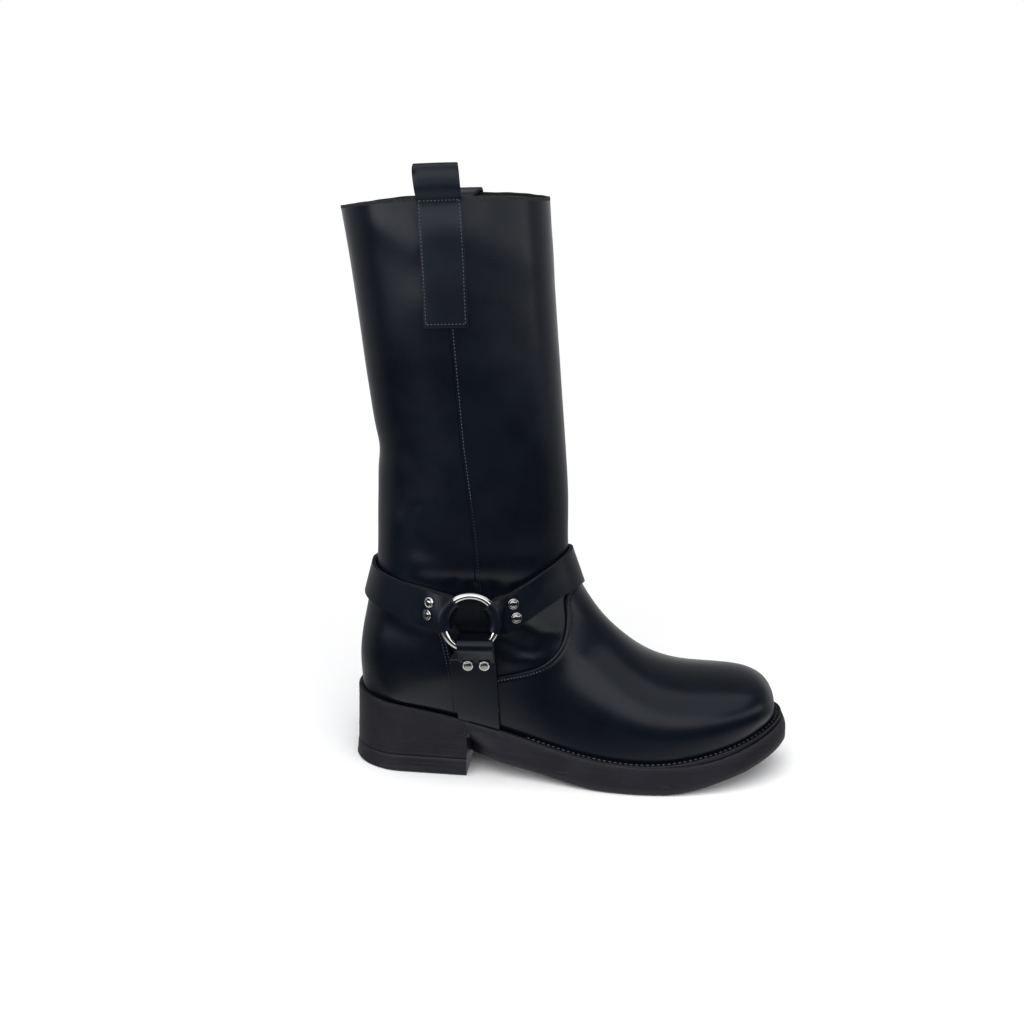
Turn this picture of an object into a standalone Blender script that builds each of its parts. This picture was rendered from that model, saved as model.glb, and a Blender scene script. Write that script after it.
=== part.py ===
"""Black leather harness boot for the right foot, built as a maker would put it together.

Axes: +X to the toe, +Y to the medial (inner) side, +Z up, the floor at Z 0.
Sizes in the tables are millimetres, measured from the back of the sole; MM turns them into metres.
"""

import math

import bmesh
import bpy
import numpy as np
from mathutils import Matrix, Vector
from mathutils.bvhtree import BVHTree

MM = 0.001
GAP = 0.3  # space kept between two pieces that touch
LATERAL, MEDIAL = -1, 1
SIDE_NAMES = {LATERAL: "lateral", MEDIAL: "medial"}

# Frame: the middle of the finished boot's box on the floor
CENTRE_X = 138.3
CENTRE_Y = -0.27

# Sole
LENGTH = 280.0
HEEL_ROUND = 36.0  # distance from the back of the sole to the heel's full width
HEEL_BREAST_X = 76.5
BREAST_SLOPE = 1.5
BALL_X = {LATERAL: 186.0, MEDIAL: 200.0}
TOE_POWER = {LATERAL: 1.95, MEDIAL: 2.2}
TOP_LIFT_HEIGHT = 11.0
HEEL_FLARE = 1.0
HEEL_TUCK = 1.2  # heel block behind the welt's edge at its top
BUMPER_FROM = 0.6  # share of the outline from heel to toe where the bumper starts
TOE_BUMPER = 2.4  # the rubber stands this far ahead of the welt at the toe
SOLE_EDGE_ROUND = 2.6
WELT_THICKNESS = 3.2
WELT_WIDTH = 14.0
WELT_INSET = 1.2
INSOLE_THICKNESS = 3.0
INSOLE_HEEL_X = 13.5

# Upper
FEATHER_INSET = 7.5  # from the sole's edge to the line where the upper meets the welt
HEEL_INSET_SHARE = 0.8
TOE_INSET_SHARE = 1.2
WALL = 2.0
OVERLAY = 1.5
OVERLAY_GAP = 0.65  # allows for the flats of two facet grids
COLLAR_RISE = {LATERAL: 4.2, MEDIAL: 3.8}  # the collar stands this much higher at its sides
COLLAR_HALF = 51.3
LEAST_BULGE = 1.02  # the upper is at least this share wider than its feather line

# Harness
STRAP = 2.4
RING_X, RING_Z = 79.0, 107.4
RING_RADIUS = 16.7
RING_TILT = 8.0  # degrees its top leans in to the boot
RING_WIRE = 2.5
RING_LIFT = 6.6  # wire centre above the upper, room for the counter and the strap under it
RIVET_RADIUS = 3.4
RIVET_LIFT = 0.2

# Half widths of the sole outline between the heel curve and the ball
PLAN_COLUMNS = ("x", "lateral", "medial")
PLAN = (
    (36, 34.8, 34.2),
    (70, 36.3, 34.4),
    (110, 39.6, 34.6),
    (150, 49.2, 41.0),
    (186, 54.0, 47.6),
    (200, 54.0, 48.6),
)

# Top of the welt along the boot, and the underside of the sole ahead of the heel
SEAT_COLUMNS = ("x", "top")
SEAT = (
    (0, 49.4), (36, 44.6), (70, 38.6), (120, 27.2), (150, 21.9),
    (180, 19.4), (205, 20.2), (230, 24.2), (255, 30.8), (280, 40.4),
)
UNDERSIDE_COLUMNS = ("x", "bottom")
UNDERSIDE = (
    (70, 19.4), (100, 12.4), (125, 6.4), (145, 2.2), (158, 0.4), (166, 0.0),
    (204, 0.0), (214, 1.0), (230, 4.3), (255, 11.2), (280, 20.8),
)

# Back line of the upper, from the feather line to the collar
BACK_COLUMNS = ("z", "x")
BACK = (
    (48.9, 6.0), (55, 5.3), (62, 5.0), (70, 5.0), (79, 5.5), (91, 6.8), (103, 8.4),
    (115, 10.7), (128, 13.2), (141, 14.4), (157, 14.7), (178, 14.8), (197, 15.0),
    (209, 15.1), (217, 14.3), (230, 12.5), (255, 8.9), (285, 4.9), (315, 0.8), (340, -3.0),
    (356, -5.8),
)

# Sections of the upper from the toe tip to the collar. Each lies in a plane across the boot, from a
# point on the base (run: behind the heel corner along the seat below 0, up the back line above 0) to
# a point on the ridge. widest is where along it the full half width lies; the squares fill the corners.
SECTION_COLUMNS = ("ridge_x", "ridge_z", "run", "lateral", "medial", "widest", "top_square", "low_square")
SECTIONS = (
    (271.0, 37.2, -265.0, 0.0, 0.0, 0.34, 0.03, 0.0),
    (271.7, 42.6, -262.0, 12.5, 12.3, 0.34, 0.04, 0.0),
    (270.7, 49.4, -256.0, 22.0, 21.8, 0.34, 0.05, 0.0),
    (267.3, 55.4, -248.5, 29.4, 29.2, 0.33, 0.06, 0.0),
    (261.5, 59.5, -240.5, 34.8, 34.6, 0.32, 0.06, 0.0),
    (253.0, 61.9, -232.0, 38.8, 38.4, 0.32, 0.06, 0.0),
    (241.0, 63.0, -222.5, 42.2, 41.2, 0.32, 0.055, 0.0),
    (226.0, 63.5, -210.0, 45.4, 43.0, 0.32, 0.05, 0.0),
    (210.5, 64.9, -195.5, 47.6, 43.6, 0.32, 0.045, 0.0),
    (196.5, 68.8, -179.0, 48.2, 43.0, 0.33, 0.04, 0.0),
    (184.5, 75.2, -161.0, 46.6, 41.4, 0.34, 0.03, 0.0),
    (173.5, 83.6, -141.0, 43.4, 39.0, 0.37, 0.02, 0.0),
    (164.3, 92.2, -119.5, 39.8, 37.0, 0.40, 0.01, 0.0),
    (156.5, 100.8, -96.5, 37.8, 36.0, 0.43, 0.01, 0.0),
    (150.2, 109.4, -71.5, 37.4, 36.0, 0.46, 0.01, 0.0),
    (144.5, 118.5, -44.5, 38.0, 36.8, 0.48, 0.02, 0.0),
    (140.2, 128.0, -17.0, 38.8, 38.0, 0.48, 0.02, 0.01),
    (137.6, 137.8, 10.5, 39.6, 39.2, 0.48, 0.02, 0.02),
    (136.5, 148.5, 38.0, 40.6, 40.4, 0.48, 0.02, 0.03),
    (136.2, 160.5, 66.0, 41.8, 41.6, 0.49, 0.02, 0.03),
    (136.0, 175.0, 94.5, 43.0, 43.0, 0.50, 0.02, 0.03),
    (135.2, 191.0, 121.5, 44.1, 44.1, 0.50, 0.02, 0.03),
    (133.7, 209.0, 147.5, 45.2, 45.2, 0.50, 0.02, 0.02),
    (131.7, 231.0, 175.0, 46.4, 46.4, 0.50, 0.02, 0.02),
    (128.9, 263.0, 209.0, 48.0, 48.0, 0.50, 0.02, 0.02),
    (125.4, 303.0, 249.0, 49.7, 49.7, 0.50, 0.02, 0.02),
    (122.4, 340.0, 284.0, 50.8, 50.8, 0.50, 0.02, 0.02),
    (120.7, 364.0, 307.1, 51.3, 51.3, 0.50, 0.02, 0.02),
)
COLLAR = len(SECTIONS) - 1

# Back edge of the vamp and front edge of the counter, seen from the side
EDGE_COLUMNS = ("x", "z")
VAMP_EDGE = (
    (80, 46), (83, 59), (91, 69), (110, 75.5), (128, 83), (136.5, 95.5), (138.5, 107), (141, 117.5),
)
COUNTER_EDGE = ((70.5, 41.5), (68.8, 55), (67.3, 68), (64.6, 92), (61.5, 104))
COUNTER_TOP_BACK_Z = 117.0

# Harness straps: edges seen from the side, from the ring to the middle of the boot
STRAP_COLUMNS = ("low_x", "low_z", "top_x", "top_z")
BACK_STRAP = ((50.0, 103.6, 50.0, 127.4), (33.0, 107.4, 34.0, 129.6))
BACK_STRAP_MIDDLE = (113.0, 133.6)  # low and top heights on the back line
FRONT_STRAP = ((102.5, 99.0, 102.5, 124.0), (122.5, 112.0, 121.5, 135.6))
FRONT_STRAP_MIDDLE = (120.0, 144.2)  # low and top heights on the ridge
DOWN_STRAP_COLUMNS = ("z", "back_x", "front_x")
DOWN_STRAP = (
    (82.0, 66.8, 94.6), (71.0, 68.6, 95.6), (60.0, 69.8, 96.4), (46.5, 71.2, 97.4), (36.0, 72.0, 98.0),
)
DOWN_STRAP_END = (42.8, 4.6)  # height of the low end's back corner, and how much lower its front corner is
DOWN_STRAP_SHARES = (0.0, 0.2, 0.25, 0.62, 1.0)
TAB_END_Z = 72.0
LIFT_COLUMNS = ("low_at_ring", "low_at_middle", "top_at_ring", "top_at_middle")
LIFTS = {"back": (2.9, 2.9, 1.3, 0.8), "front": (0.6, 2.4, 0.6, 0.6)}

# Where each strap wraps the ring, in degrees from the toe direction, and the shape of the fold
WRAP_COLUMNS = ("start", "end")
WRAPS = {"back": (197.0, 127.0), "front": (-28.0, 44.0), "down": (236.0, 312.0)}
FOLD_COLUMNS = ("reach", "rise")
FOLD = ((-5.2, 0.0), (-4.5, 2.6), (-2.6, 4.5), (0.0, 5.2), (2.4, 4.4), (4.2, 2.4), (6.0, 0.8))

# Rivet centres seen from the side
RIVET_COLUMNS = ("strap", "x", "z")
RIVETS = (
    ("back", 55.6, 120.4), ("back", 54.4, 112.6),
    ("front", 104.0, 118.6), ("front", 106.6, 108.8),
    ("down", 78.2, 79.6), ("down", 88.4, 79.8),
)

RIVET_PROFILE_COLUMNS = ("radius_share", "height")
RIVET_PROFILE = ((0, 0), (1, 0), (0.98, 0.5), (0.66, 1.5), (0, 1.95))

# Pull straps: middle of the band out from the upper's face and up from the collar, round the loop
PULL_WIDTH = 25.2
PULL_COLLAR_X = 61.0
PULL_LEAN = 4.6
PULL_DROP = 70.5
PULL = 2.2
LOOP_COLUMNS = ("out", "up")
LOOPS = {
    LATERAL: (
        (1.4, 0), (2.8, 4.4), (3.2, 8.6), (3.0, 13.3), (1.6, 16.5), (-1.4, 17.8),
        (-4.4, 16.5), (-6.1, 13.3), (-6.4, 9.4), (-5.4, 4.4), (-3.5, 0), (-3.45, -10), (-3.45, -22),
    ),
    MEDIAL: (
        (1.4, 0), (1.3, 0.9), (0.5, 1.7), (-1.4, 2.1), (-5, 1.5), (-11, 0.2), (-16, -0.8), (-19.4, -2.6),
        (-20.6, -6.0), (-19.4, -9.2), (-16, -10.4), (-11, -10.8), (-7.4, -11.8), (-5.0, -14.4), (-3.9, -18),
        (-3.5, -22), (-3.45, -26),
    ),
}

# Mesh density
AROUND, ALONG = 40, 27
SOLE_STATIONS = 27
RING_STEPS, WIRE_STEPS = 22, 6
ACROSS_STRAP = 3
RIVET_STEPS = 8


class Curve:
    """A natural cubic curve through one column of a table."""

    def __init__(self, knots, values):
        self.k = np.array(knots, float)
        self.y = np.array(values, float)
        h = np.diff(self.k)
        n = len(self.k)
        a = np.eye(n)
        r = np.zeros(n)
        for i in range(1, n - 1):
            a[i, i - 1 : i + 2] = h[i - 1], 2 * (h[i - 1] + h[i]), h[i]
            r[i] = 6 * ((self.y[i + 1] - self.y[i]) / h[i] - (self.y[i] - self.y[i - 1]) / h[i - 1])
        self.m = np.linalg.solve(a, r)

    def __call__(self, x):
        i = int(np.clip(np.searchsorted(self.k, x) - 1, 0, len(self.k) - 2))
        h = self.k[i + 1] - self.k[i]
        p = (self.k[i + 1] - x) / h
        q = 1 - p
        bend = ((p**3 - p) * self.m[i] + (q**3 - q) * self.m[i + 1]) * h * h / 6
        return float(p * self.y[i] + q * self.y[i + 1] + bend)


def column(table, columns, name):
    return [row[columns.index(name)] for row in table]


def curve(table, columns, across, value):
    return Curve(column(table, columns, across), column(table, columns, value))


seat = curve(SEAT, SEAT_COLUMNS, "x", "top")
back_line = curve(BACK, BACK_COLUMNS, "z", "x")
plan = {side: curve(PLAN, PLAN_COLUMNS, "x", SIDE_NAMES[side]) for side in (LATERAL, MEDIAL)}
ROWS = range(len(SECTIONS))
section = {name: Curve(ROWS, column(SECTIONS, SECTION_COLUMNS, name)) for name in SECTION_COLUMNS}
HEEL_CORNER_X = FEATHER_INSET * HEEL_INSET_SHARE


def underside(x):
    """Height of the sole's underside ahead of the heel, level where it meets the floor."""
    along, height = (column(UNDERSIDE, UNDERSIDE_COLUMNS, name) for name in UNDERSIDE_COLUMNS)
    return float(np.interp(x, along, height))


def plan_half(x, side, inset=0.0):
    """Half width of the sole outline, moved in by inset, at x from the back of the sole."""
    heel = inset * HEEL_INSET_SHARE
    toe = LENGTH - inset * TOE_INSET_SHARE
    ball = BALL_X[side]
    if x < HEEL_ROUND:
        share = min(1.0, max(0.0, (HEEL_ROUND - x) / (HEEL_ROUND - heel)))
        return (plan[side](HEEL_ROUND) - inset) * math.sqrt(1 - share**2)
    if x > ball:
        share = min(1.0, (x - ball) / (toe - ball))
        power = TOE_POWER[side]
        return (plan[side](ball) - inset) * (1 - share**power) ** (1 / power)
    return plan[side](x) - inset


def base_point(run):
    """Side view point of a section's base: on the seat behind the toe, or up the back line."""
    if run < 0:
        x = HEEL_CORNER_X - run
        return x, seat(x) + GAP
    z = seat(HEEL_CORNER_X) + GAP + run
    return back_line(z), z


def section_shape(share, v, side):
    """Share of the way from base to ridge, and half width, at share 0 (base) to 1 (ridge)."""
    run = section["run"](v)
    widest = section["widest"](v)
    foot = plan_half(base_point(run)[0], side, FEATHER_INSET) if run < 0 else 0.0
    full = max(section[SIDE_NAMES[side]](v), foot * LEAST_BULGE)
    if share < widest:
        turn = share / widest * math.pi / 2
        fill = 1 + section["low_square"](v) * math.sin(2 * turn) ** 2
        return widest * (1 - math.cos(turn) * fill), foot + (full - foot) * math.sin(turn) * fill
    turn = (share - widest) / (1 - widest) * math.pi / 2
    fill = 1 + section["top_square"](v) * math.sin(2 * turn) ** 2
    return widest + (1 - widest) * math.sin(turn) * fill, full * math.cos(turn) * fill


def upper_point(u, v):
    """Point on the upper's face: u 0 to 1 from the lateral base over the ridge to the medial base."""
    side = LATERAL if u <= 0.5 else MEDIAL
    share = 2 * u if u <= 0.5 else 2 - 2 * u
    v = min(max(v, 0.0), COLLAR)
    base_x, base_z = base_point(section["run"](v))
    along, half = section_shape(min(max(share, 0.0), 1.0), v, side)
    x = base_x + along * (section["ridge_x"](v) - base_x)
    z = base_z + along * (section["ridge_z"](v) - base_z)
    z += COLLAR_RISE[side] * (half / COLLAR_HALF) ** 2 * (v / COLLAR) ** 6
    return Vector((x, side * half, z))


def upper_normal(u, v):
    """Direction straight out of the upper's face."""
    du, dv = 2e-3, 1e-2
    across = upper_point(min(u + du, 1), v) - upper_point(max(u - du, 0), v)
    up = upper_point(u, v + dv) - upper_point(u, v - dv)
    return across.cross(up).normalized()


def off_upper(u, v, out):
    return upper_point(u, v) + upper_normal(u, v) * out


def bisect(function, low, high):
    """Where a rising function crosses zero."""
    for _ in range(50):
        middle = (low + high) / 2
        low, high = (middle, high) if function(middle) < 0 else (low, middle)
    return (low + high) / 2


def find_on_upper(x, z):
    """(share, v) of the side view point x, z."""

    def above(v):
        base_x, base_z = base_point(section["run"](v))
        ridge_x, ridge_z = section["ridge_x"](v), section["ridge_z"](v)
        return (ridge_z - base_z) * (x - base_x) - (ridge_x - base_x) * (z - base_z)

    v = bisect(above, 1.0, COLLAR)
    base_x, base_z = base_point(section["run"](v))
    reach = Vector((section["ridge_x"](v) - base_x, section["ridge_z"](v) - base_z))
    wanted = Vector((x - base_x, z - base_z)).dot(reach) / reach.length_squared
    share = bisect(lambda s: section_shape(s, v, LATERAL)[0] - wanted, 0.0, 1.0)
    return share, v


def on_side(share, side):
    return share / 2 if side == LATERAL else 1 - share / 2


def side_point(x, z, side, out):
    share, v = find_on_upper(x, z)
    return off_upper(on_side(share, side), v, out)


def material(name, colour, roughness, metallic=0.0):
    made = bpy.data.materials.new(name)
    made.use_nodes = True
    shader = made.node_tree.nodes["Principled BSDF"]
    shader.inputs["Base Color"].default_value = (*colour, 1)
    shader.inputs["Roughness"].default_value = roughness
    shader.inputs["Metallic"].default_value = metallic
    return made


def in_frame(point):
    return Vector((point[0] - CENTRE_X, point[1] - CENTRE_Y, point[2])) * MM


def finish(name, bm, finish_material):
    """A named object in the boot's group, closed, smooth and facing out."""
    bmesh.ops.remove_doubles(bm, verts=bm.verts, dist=1e-6)
    bmesh.ops.dissolve_degenerate(bm, edges=bm.edges, dist=1e-7)
    bmesh.ops.recalc_face_normals(bm, faces=bm.faces)
    mesh = bpy.data.meshes.new(name)
    bm.to_mesh(mesh)
    bm.free()
    mesh.shade_smooth()
    mesh.set_sharp_from_angle(angle=math.radians(40))
    mesh.materials.append(finish_material)
    made = bpy.data.objects.new(name, mesh)
    bpy.context.collection.objects.link(made)
    made.parent = boot
    return made


def grid(rows, columns, point):
    """A sheet of rows by columns quads whose corners are point(row share, column share)."""
    bm = bmesh.new()
    bmesh.ops.create_grid(bm, x_segments=columns, y_segments=rows, size=0.5)
    for vert in bm.verts:
        vert.co = in_frame(point(vert.co.y + 0.5, vert.co.x + 0.5))
    return bm


def sheet(name, rows, columns, point, thickness, finish_material, outwards=True):
    """A leather sheet given its thickness by Solidify, outwards or inwards from the points."""
    made = finish(name, grid(rows, columns, point), finish_material)
    wall = made.modifiers.new("thickness", "SOLIDIFY")
    wall.thickness = thickness * MM
    wall.offset = 1 if outwards else -1
    wall.use_even_offset = True
    return made


def bar(name, rings, finish_material, closed=False):
    """A solid bridged through rings of points; a ring of coinciding points closes to a point or line."""
    bm = bmesh.new()
    loops = []
    for ring in rings:
        verts = [bm.verts.new(in_frame(p)) for p in ring]
        loops.append([bm.edges.new((a, b)) for a, b in zip(verts, verts[1:] + verts[:1])])
    pairs = list(zip(loops, loops[1:])) + ([(loops[-1], loops[0])] if closed else [])
    for a, b in pairs:
        skin(bm, a, b)
    if not closed:
        for loop, ring in ((loops[0], rings[0]), (loops[-1], rings[-1])):
            if max(p[1] for p in ring) - min(p[1] for p in ring) > GAP:
                bm.faces.new([edge.verts[0] for edge in loop])
    return finish(name, bm, finish_material)


def skin(bm, first, second):
    """Quads between two loops of edges that run the same way."""
    for a, b in zip(first, second):
        bm.faces.new((a.verts[0], a.verts[1], b.verts[1], b.verts[0]))


def cut(target, cutter):
    cutter.hide_render = True
    cutter.display_type = "WIRE"
    made = target.modifiers.new("cut", "BOOLEAN")
    made.operation = "DIFFERENCE"
    made.object = cutter


def outline_point(turn, side, inset):
    """Plan point at turn 0 (heel) to 1 (toe) of one side's outline, moved in square to it."""
    x = LENGTH * (1 - math.cos(turn * math.pi)) / 2
    step = 0.02
    before = LENGTH * (1 - math.cos(max(turn - step, 0) * math.pi)) / 2
    after = LENGTH * (1 - math.cos(min(turn + step, 1) * math.pi)) / 2
    along = Vector((after - before, plan_half(after, side) - plan_half(before, side)))
    if turn in (0.0, 1.0):
        along = Vector((0, 1 if turn == 0 else -1))
    along.normalize()
    half = plan_half(x, side) - inset * along.x
    return x + inset * along.y, side * max(half, 0.0)


def turn_at(x):
    return math.acos(1 - 2 * x / LENGTH) / math.pi


def stations(first, last, count):
    return [first + (last - first) * i / count for i in range(count + 1)]


def slice_ring(turn, levels):
    """Ring across the sole at one turn: levels are (inset, height) from the top to the bottom edge."""
    ring = []
    for side, order in ((LATERAL, levels), (MEDIAL, levels[::-1])):
        for inset, height in order:
            x, y = outline_point(turn, side, inset)
            ring.append((x, y, height(x) if callable(height) else height))
    return ring


def sole_top(x):
    return seat(x) - WELT_THICKNESS - GAP


def heel_levels():
    low = TOP_LIFT_HEIGHT + GAP
    return [
        (HEEL_TUCK + 0.8, sole_top),
        (HEEL_TUCK, lambda x: sole_top(x) - 0.8),
        (HEEL_TUCK * 0.7, lambda x: sole_top(x) * 0.6 + low * 0.4),
        (0.0, low),
    ]


def forefoot_levels(turn):
    bumper = TOE_BUMPER * max(0.0, (turn - BUMPER_FROM) / (1 - BUMPER_FROM))
    return [
        (1.0, sole_top),
        (0.0, lambda x: sole_top(x) - 1.0),
        (-bumper, lambda x: sole_top(x) * 0.4 + underside(x) * 0.6),
        (SOLE_EDGE_ROUND - bumper, underside),
    ]


def make_outsole():
    breast = turn_at(HEEL_BREAST_X)
    waist = turn_at(HEEL_BREAST_X + BREAST_SLOPE)
    rings = [slice_ring(t, heel_levels()) for t in stations(0.0, breast, 9)]
    rings += [slice_ring(t, forefoot_levels(t)) for t in stations(waist, 1.0, SOLE_STATIONS - 9)]
    return bar("outsole", rings, rubber)


def make_top_lift():
    breast = turn_at(HEEL_BREAST_X)
    levels = [
        (0.0, TOP_LIFT_HEIGHT),
        (-HEEL_FLARE, TOP_LIFT_HEIGHT * 0.25),
        (0.4 - HEEL_FLARE, 0.0),
    ]
    return bar("heel_top_lift", [slice_ring(t, levels) for t in stations(0.0, breast, 9)], rubber)


def make_welt():
    low, edge = WELT_THICKNESS, 0.7
    levels = [
        (WELT_INSET + WELT_WIDTH, seat),
        (WELT_INSET + edge, seat),
        (WELT_INSET, lambda x: seat(x) - edge),
        (WELT_INSET, lambda x: seat(x) - low),
        (WELT_INSET + WELT_WIDTH, lambda x: seat(x) - low),
    ]
    turns = stations(0.0, 1.0, SOLE_STATIONS)
    rings = []
    for side, order in ((LATERAL, turns), (MEDIAL, turns[-2:0:-1])):
        for turn in order:
            ring = []
            for inset, height in levels:
                x, y = outline_point(turn, side, inset)
                ring.append((x, y, height(x)))
            rings.append(ring)
    return bar("welt", rings, rubber, closed=True)


def make_insole():
    inset = FEATHER_INSET + 2.0
    heel, toe = INSOLE_HEEL_X, LENGTH - inset * TOE_INSET_SHARE
    rings = []
    for turn in stations(0.0, 1.0, 22):
        x = heel + (toe - heel) * (1 - math.cos(turn * math.pi)) / 2
        top, low = seat(x) + GAP + INSOLE_THICKNESS, seat(x) + GAP
        narrow = math.sqrt(1 - max(0.0, (HEEL_ROUND - x) / (HEEL_ROUND - heel)) ** 2)
        edges = [side * plan_half(max(x, HEEL_ROUND), side, inset) * narrow for side in (LATERAL, MEDIAL)]
        rings.append([(x, edges[0], top), (x, edges[0], low), (x, edges[1], low), (x, edges[1], top)])
    return bar("insole", rings, lining)


def make_upper():
    def point(row, col):
        return upper_point(col, row * COLLAR)

    return sheet("upper", ALONG, AROUND, point, WALL, leather, outwards=False)


def make_vamp():
    found = [find_on_upper(x, z) for x, z in VAMP_EDGE]
    edge = Curve([s for s, _ in found] + [1.0], [v for _, v in found] + [found[-1][1]])
    first, toe_rows = 1.4, 8.0

    def point(row, col):
        share = min(2 * col, 2 - 2 * col)
        v = first + row * (edge(0.09 + 0.91 * share) - first)
        low = 0.09 + 0.18 * max(0.0, 1 - v / toe_rows)
        u = on_side(low + (1 - low) * share, LATERAL if col <= 0.5 else MEDIAL)
        return off_upper(u, v, OVERLAY_GAP)

    return sheet("vamp", 13, 26, point, OVERLAY, leather)


def make_counter():
    edge = curve(COUNTER_EDGE, EDGE_COLUMNS, "z", "x")
    lift = 4.0

    def point(row, col):
        side = LATERAL if col <= 0.5 else MEDIAL
        forward = 1 - math.cos(abs(2 * col - 1) * math.pi / 2)
        low = seat(HEEL_CORNER_X + forward * (COUNTER_EDGE[0][0] - HEEL_CORNER_X)) + lift
        top = COUNTER_TOP_BACK_Z + forward * (COUNTER_EDGE[-1][1] - COUNTER_TOP_BACK_Z)
        z = low + row * (top - low)
        x = back_line(z) + forward * (edge(z) - back_line(z))
        return side_point(x, z, side, OVERLAY_GAP)

    return sheet("counter", 9, 20, point, OVERLAY, leather)


def ring_frame(side):
    """Middle of the ring and its three directions: to the toe, up, and out of the boot."""
    around = []
    for a, b in ((-1, 0), (1, 0), (0, -1), (0, 1)):
        around.append(side_point(RING_X + a * RING_RADIUS, RING_Z + b * RING_RADIUS, side, 0))
    toe = (around[1] - around[0]).normalized()
    up = (around[3] - around[2]).normalized()
    out = toe.cross(up).normalized()
    out = out if out.y * side > 0 else -out
    up = out.cross(toe) if out.cross(toe).z > 0 else toe.cross(out)
    tilt = math.radians(RING_TILT)
    up, out = up * math.cos(tilt) - out * math.sin(tilt), out * math.cos(tilt) + up * math.sin(tilt)
    heights = [(p - around[0]).dot(out) for p in around]
    middle = sum(around, Vector()) / 4
    middle += out * (max(heights) - (middle - around[0]).dot(out) + RING_LIFT)
    return middle, toe, up, out


def make_ring(name, side, wire):
    middle, toe, up, out = ring_frame(side)
    bm = bmesh.new()
    bmesh.ops.create_circle(bm, segments=WIRE_STEPS, radius=wire * MM)
    bmesh.ops.rotate(bm, verts=bm.verts, matrix=Matrix.Rotation(math.pi / 2, 3, "X"))
    bmesh.ops.translate(bm, verts=bm.verts, vec=(RING_RADIUS * MM, 0, 0))
    bmesh.ops.spin(
        bm, geom=bm.verts[:] + bm.edges[:], cent=(0, 0, 0), axis=(0, 0, 1), angle=2 * math.pi,
        steps=RING_STEPS, use_merge=True,
    )
    place = Matrix((toe, up, out)).transposed().to_4x4()
    place.translation = in_frame(middle)
    bmesh.ops.transform(bm, matrix=place, verts=bm.verts)
    return finish(name, bm, nickel)


def wrapped_rows(strap, side):
    """Rows of (under, over) points where a strap folds round the ring, from the fold outwards."""
    middle, toe, up, out = ring_frame(side)
    start, end = WRAPS[strap]
    lift = 2 * GAP if strap == "front" else OVERLAY_GAP + OVERLAY + 2 * GAP
    shares = DOWN_STRAP_SHARES if strap == "down" else stations(0.0, 1.0, ACROSS_STRAP)
    rows = []
    for reach, rise in FOLD:
        row = []
        for share in shares:
            turn = math.radians(start + (end - start) * share)
            radius = RING_RADIUS + reach
            over = middle + (toe * math.cos(turn) + up * math.sin(turn)) * radius
            row.append((side_point(over.x, over.z, side, lift), over + out * rise))
        rows.append(row)
    return rows


def band_row(low, top, lifts, thickness):
    """Row of (under, over) points straight across a strap from its low edge to its top edge."""
    first, last = (off_upper(*spot, lift) for spot, lift in zip((low, top), lifts))
    row = []
    for share in stations(0.0, 1.0, ACROSS_STRAP):
        u, v = (low[i] + (top[i] - low[i]) * share for i in (0, 1))
        face, normal = upper_point(u, v), upper_normal(u, v)
        lift = max(GAP, (first.lerp(last, share) - face).dot(normal))
        row.append((face + normal * lift, face + normal * (lift + thickness)))
    return row


def strap_ring(row):
    return [under for under, _ in row] + [over for _, over in reversed(row)]


def make_ankle_strap(name, strap, table, middle):
    """A strap from the lateral ring round the front or back of the ankle to the medial ring."""
    ends = {"low": [], "top": []}
    for low_x, low_z, top_x, top_z in table:
        ends["low"].append(find_on_upper(low_x, low_z))
        ends["top"].append(find_on_upper(top_x, top_z))
    at_middle = 0.0 if strap == "back" else 1.0
    rise = section["ridge_z"] if strap == "front" else lambda v: base_point(section["run"](v))[1]
    for edge, height in zip(("low", "top"), middle):
        ends[edge].append((at_middle, bisect(lambda v: rise(v) - height, 15.0, COLLAR)))
    edges = {e: Curve(*zip(*sorted(found))) for e, found in ends.items()}
    starts = {e: found[0][0] for e, found in ends.items()}

    def row(share, side):
        spots = []
        for edge in ("low", "top"):
            along = starts[edge] + (at_middle - starts[edge]) * share
            spots.append((on_side(along, side), edges[edge](along)))
        low_ring, low_middle, top_ring, top_middle = LIFTS[strap]
        lifts = low_ring + (low_middle - low_ring) * share, top_ring + (top_middle - top_ring) * share
        return band_row(*spots, lifts, STRAP * (2 - min(1.0, share * 3)))

    count = 7
    half = [row(i / count, LATERAL) for i in range(count + 1)]
    other = [row(i / count, MEDIAL) for i in range(count - 1, -1, -1)]
    rows = wrapped_rows(strap, LATERAL) + half + other + wrapped_rows(strap, MEDIAL)[::-1]
    made = bar(name, [strap_ring(r) for r in rows], leather)
    for side in (LATERAL, MEDIAL):
        cut(made, tunnels[side])
    return made


def make_down_strap(side):
    """The strap from the ring down to the welt, with the folded tab on its face."""
    rows = wrapped_rows("down", side)
    back = curve(DOWN_STRAP[::-1], DOWN_STRAP_COLUMNS, "z", "back_x")
    front = curve(DOWN_STRAP[::-1], DOWN_STRAP_COLUMNS, "z", "front_x")
    step = 0.5
    lift = OVERLAY_GAP + OVERLAY + GAP
    end, slant = DOWN_STRAP_END
    for level in (DOWN_STRAP[0][0], TAB_END_Z + step, TAB_END_Z, 64.0, 57.0, 50.0, end):
        row = []
        for share in DOWN_STRAP_SHARES:
            z = level - slant * share * max(0.0, (TAB_END_Z - level) / (TAB_END_Z - end))
            x = back(z) + (front(z) - back(z)) * share
            tab = level > TAB_END_Z and share > DOWN_STRAP_SHARES[1]
            over = lift + (2 if tab else 1) * STRAP
            row.append((side_point(x, z, side, lift), side_point(x, z, side, over)))
        rows.append(row)
    made = bar("strap_down_" + SIDE_NAMES[side], [strap_ring(r) for r in rows], leather)
    cut(made, tunnels[side])
    return made


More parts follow.
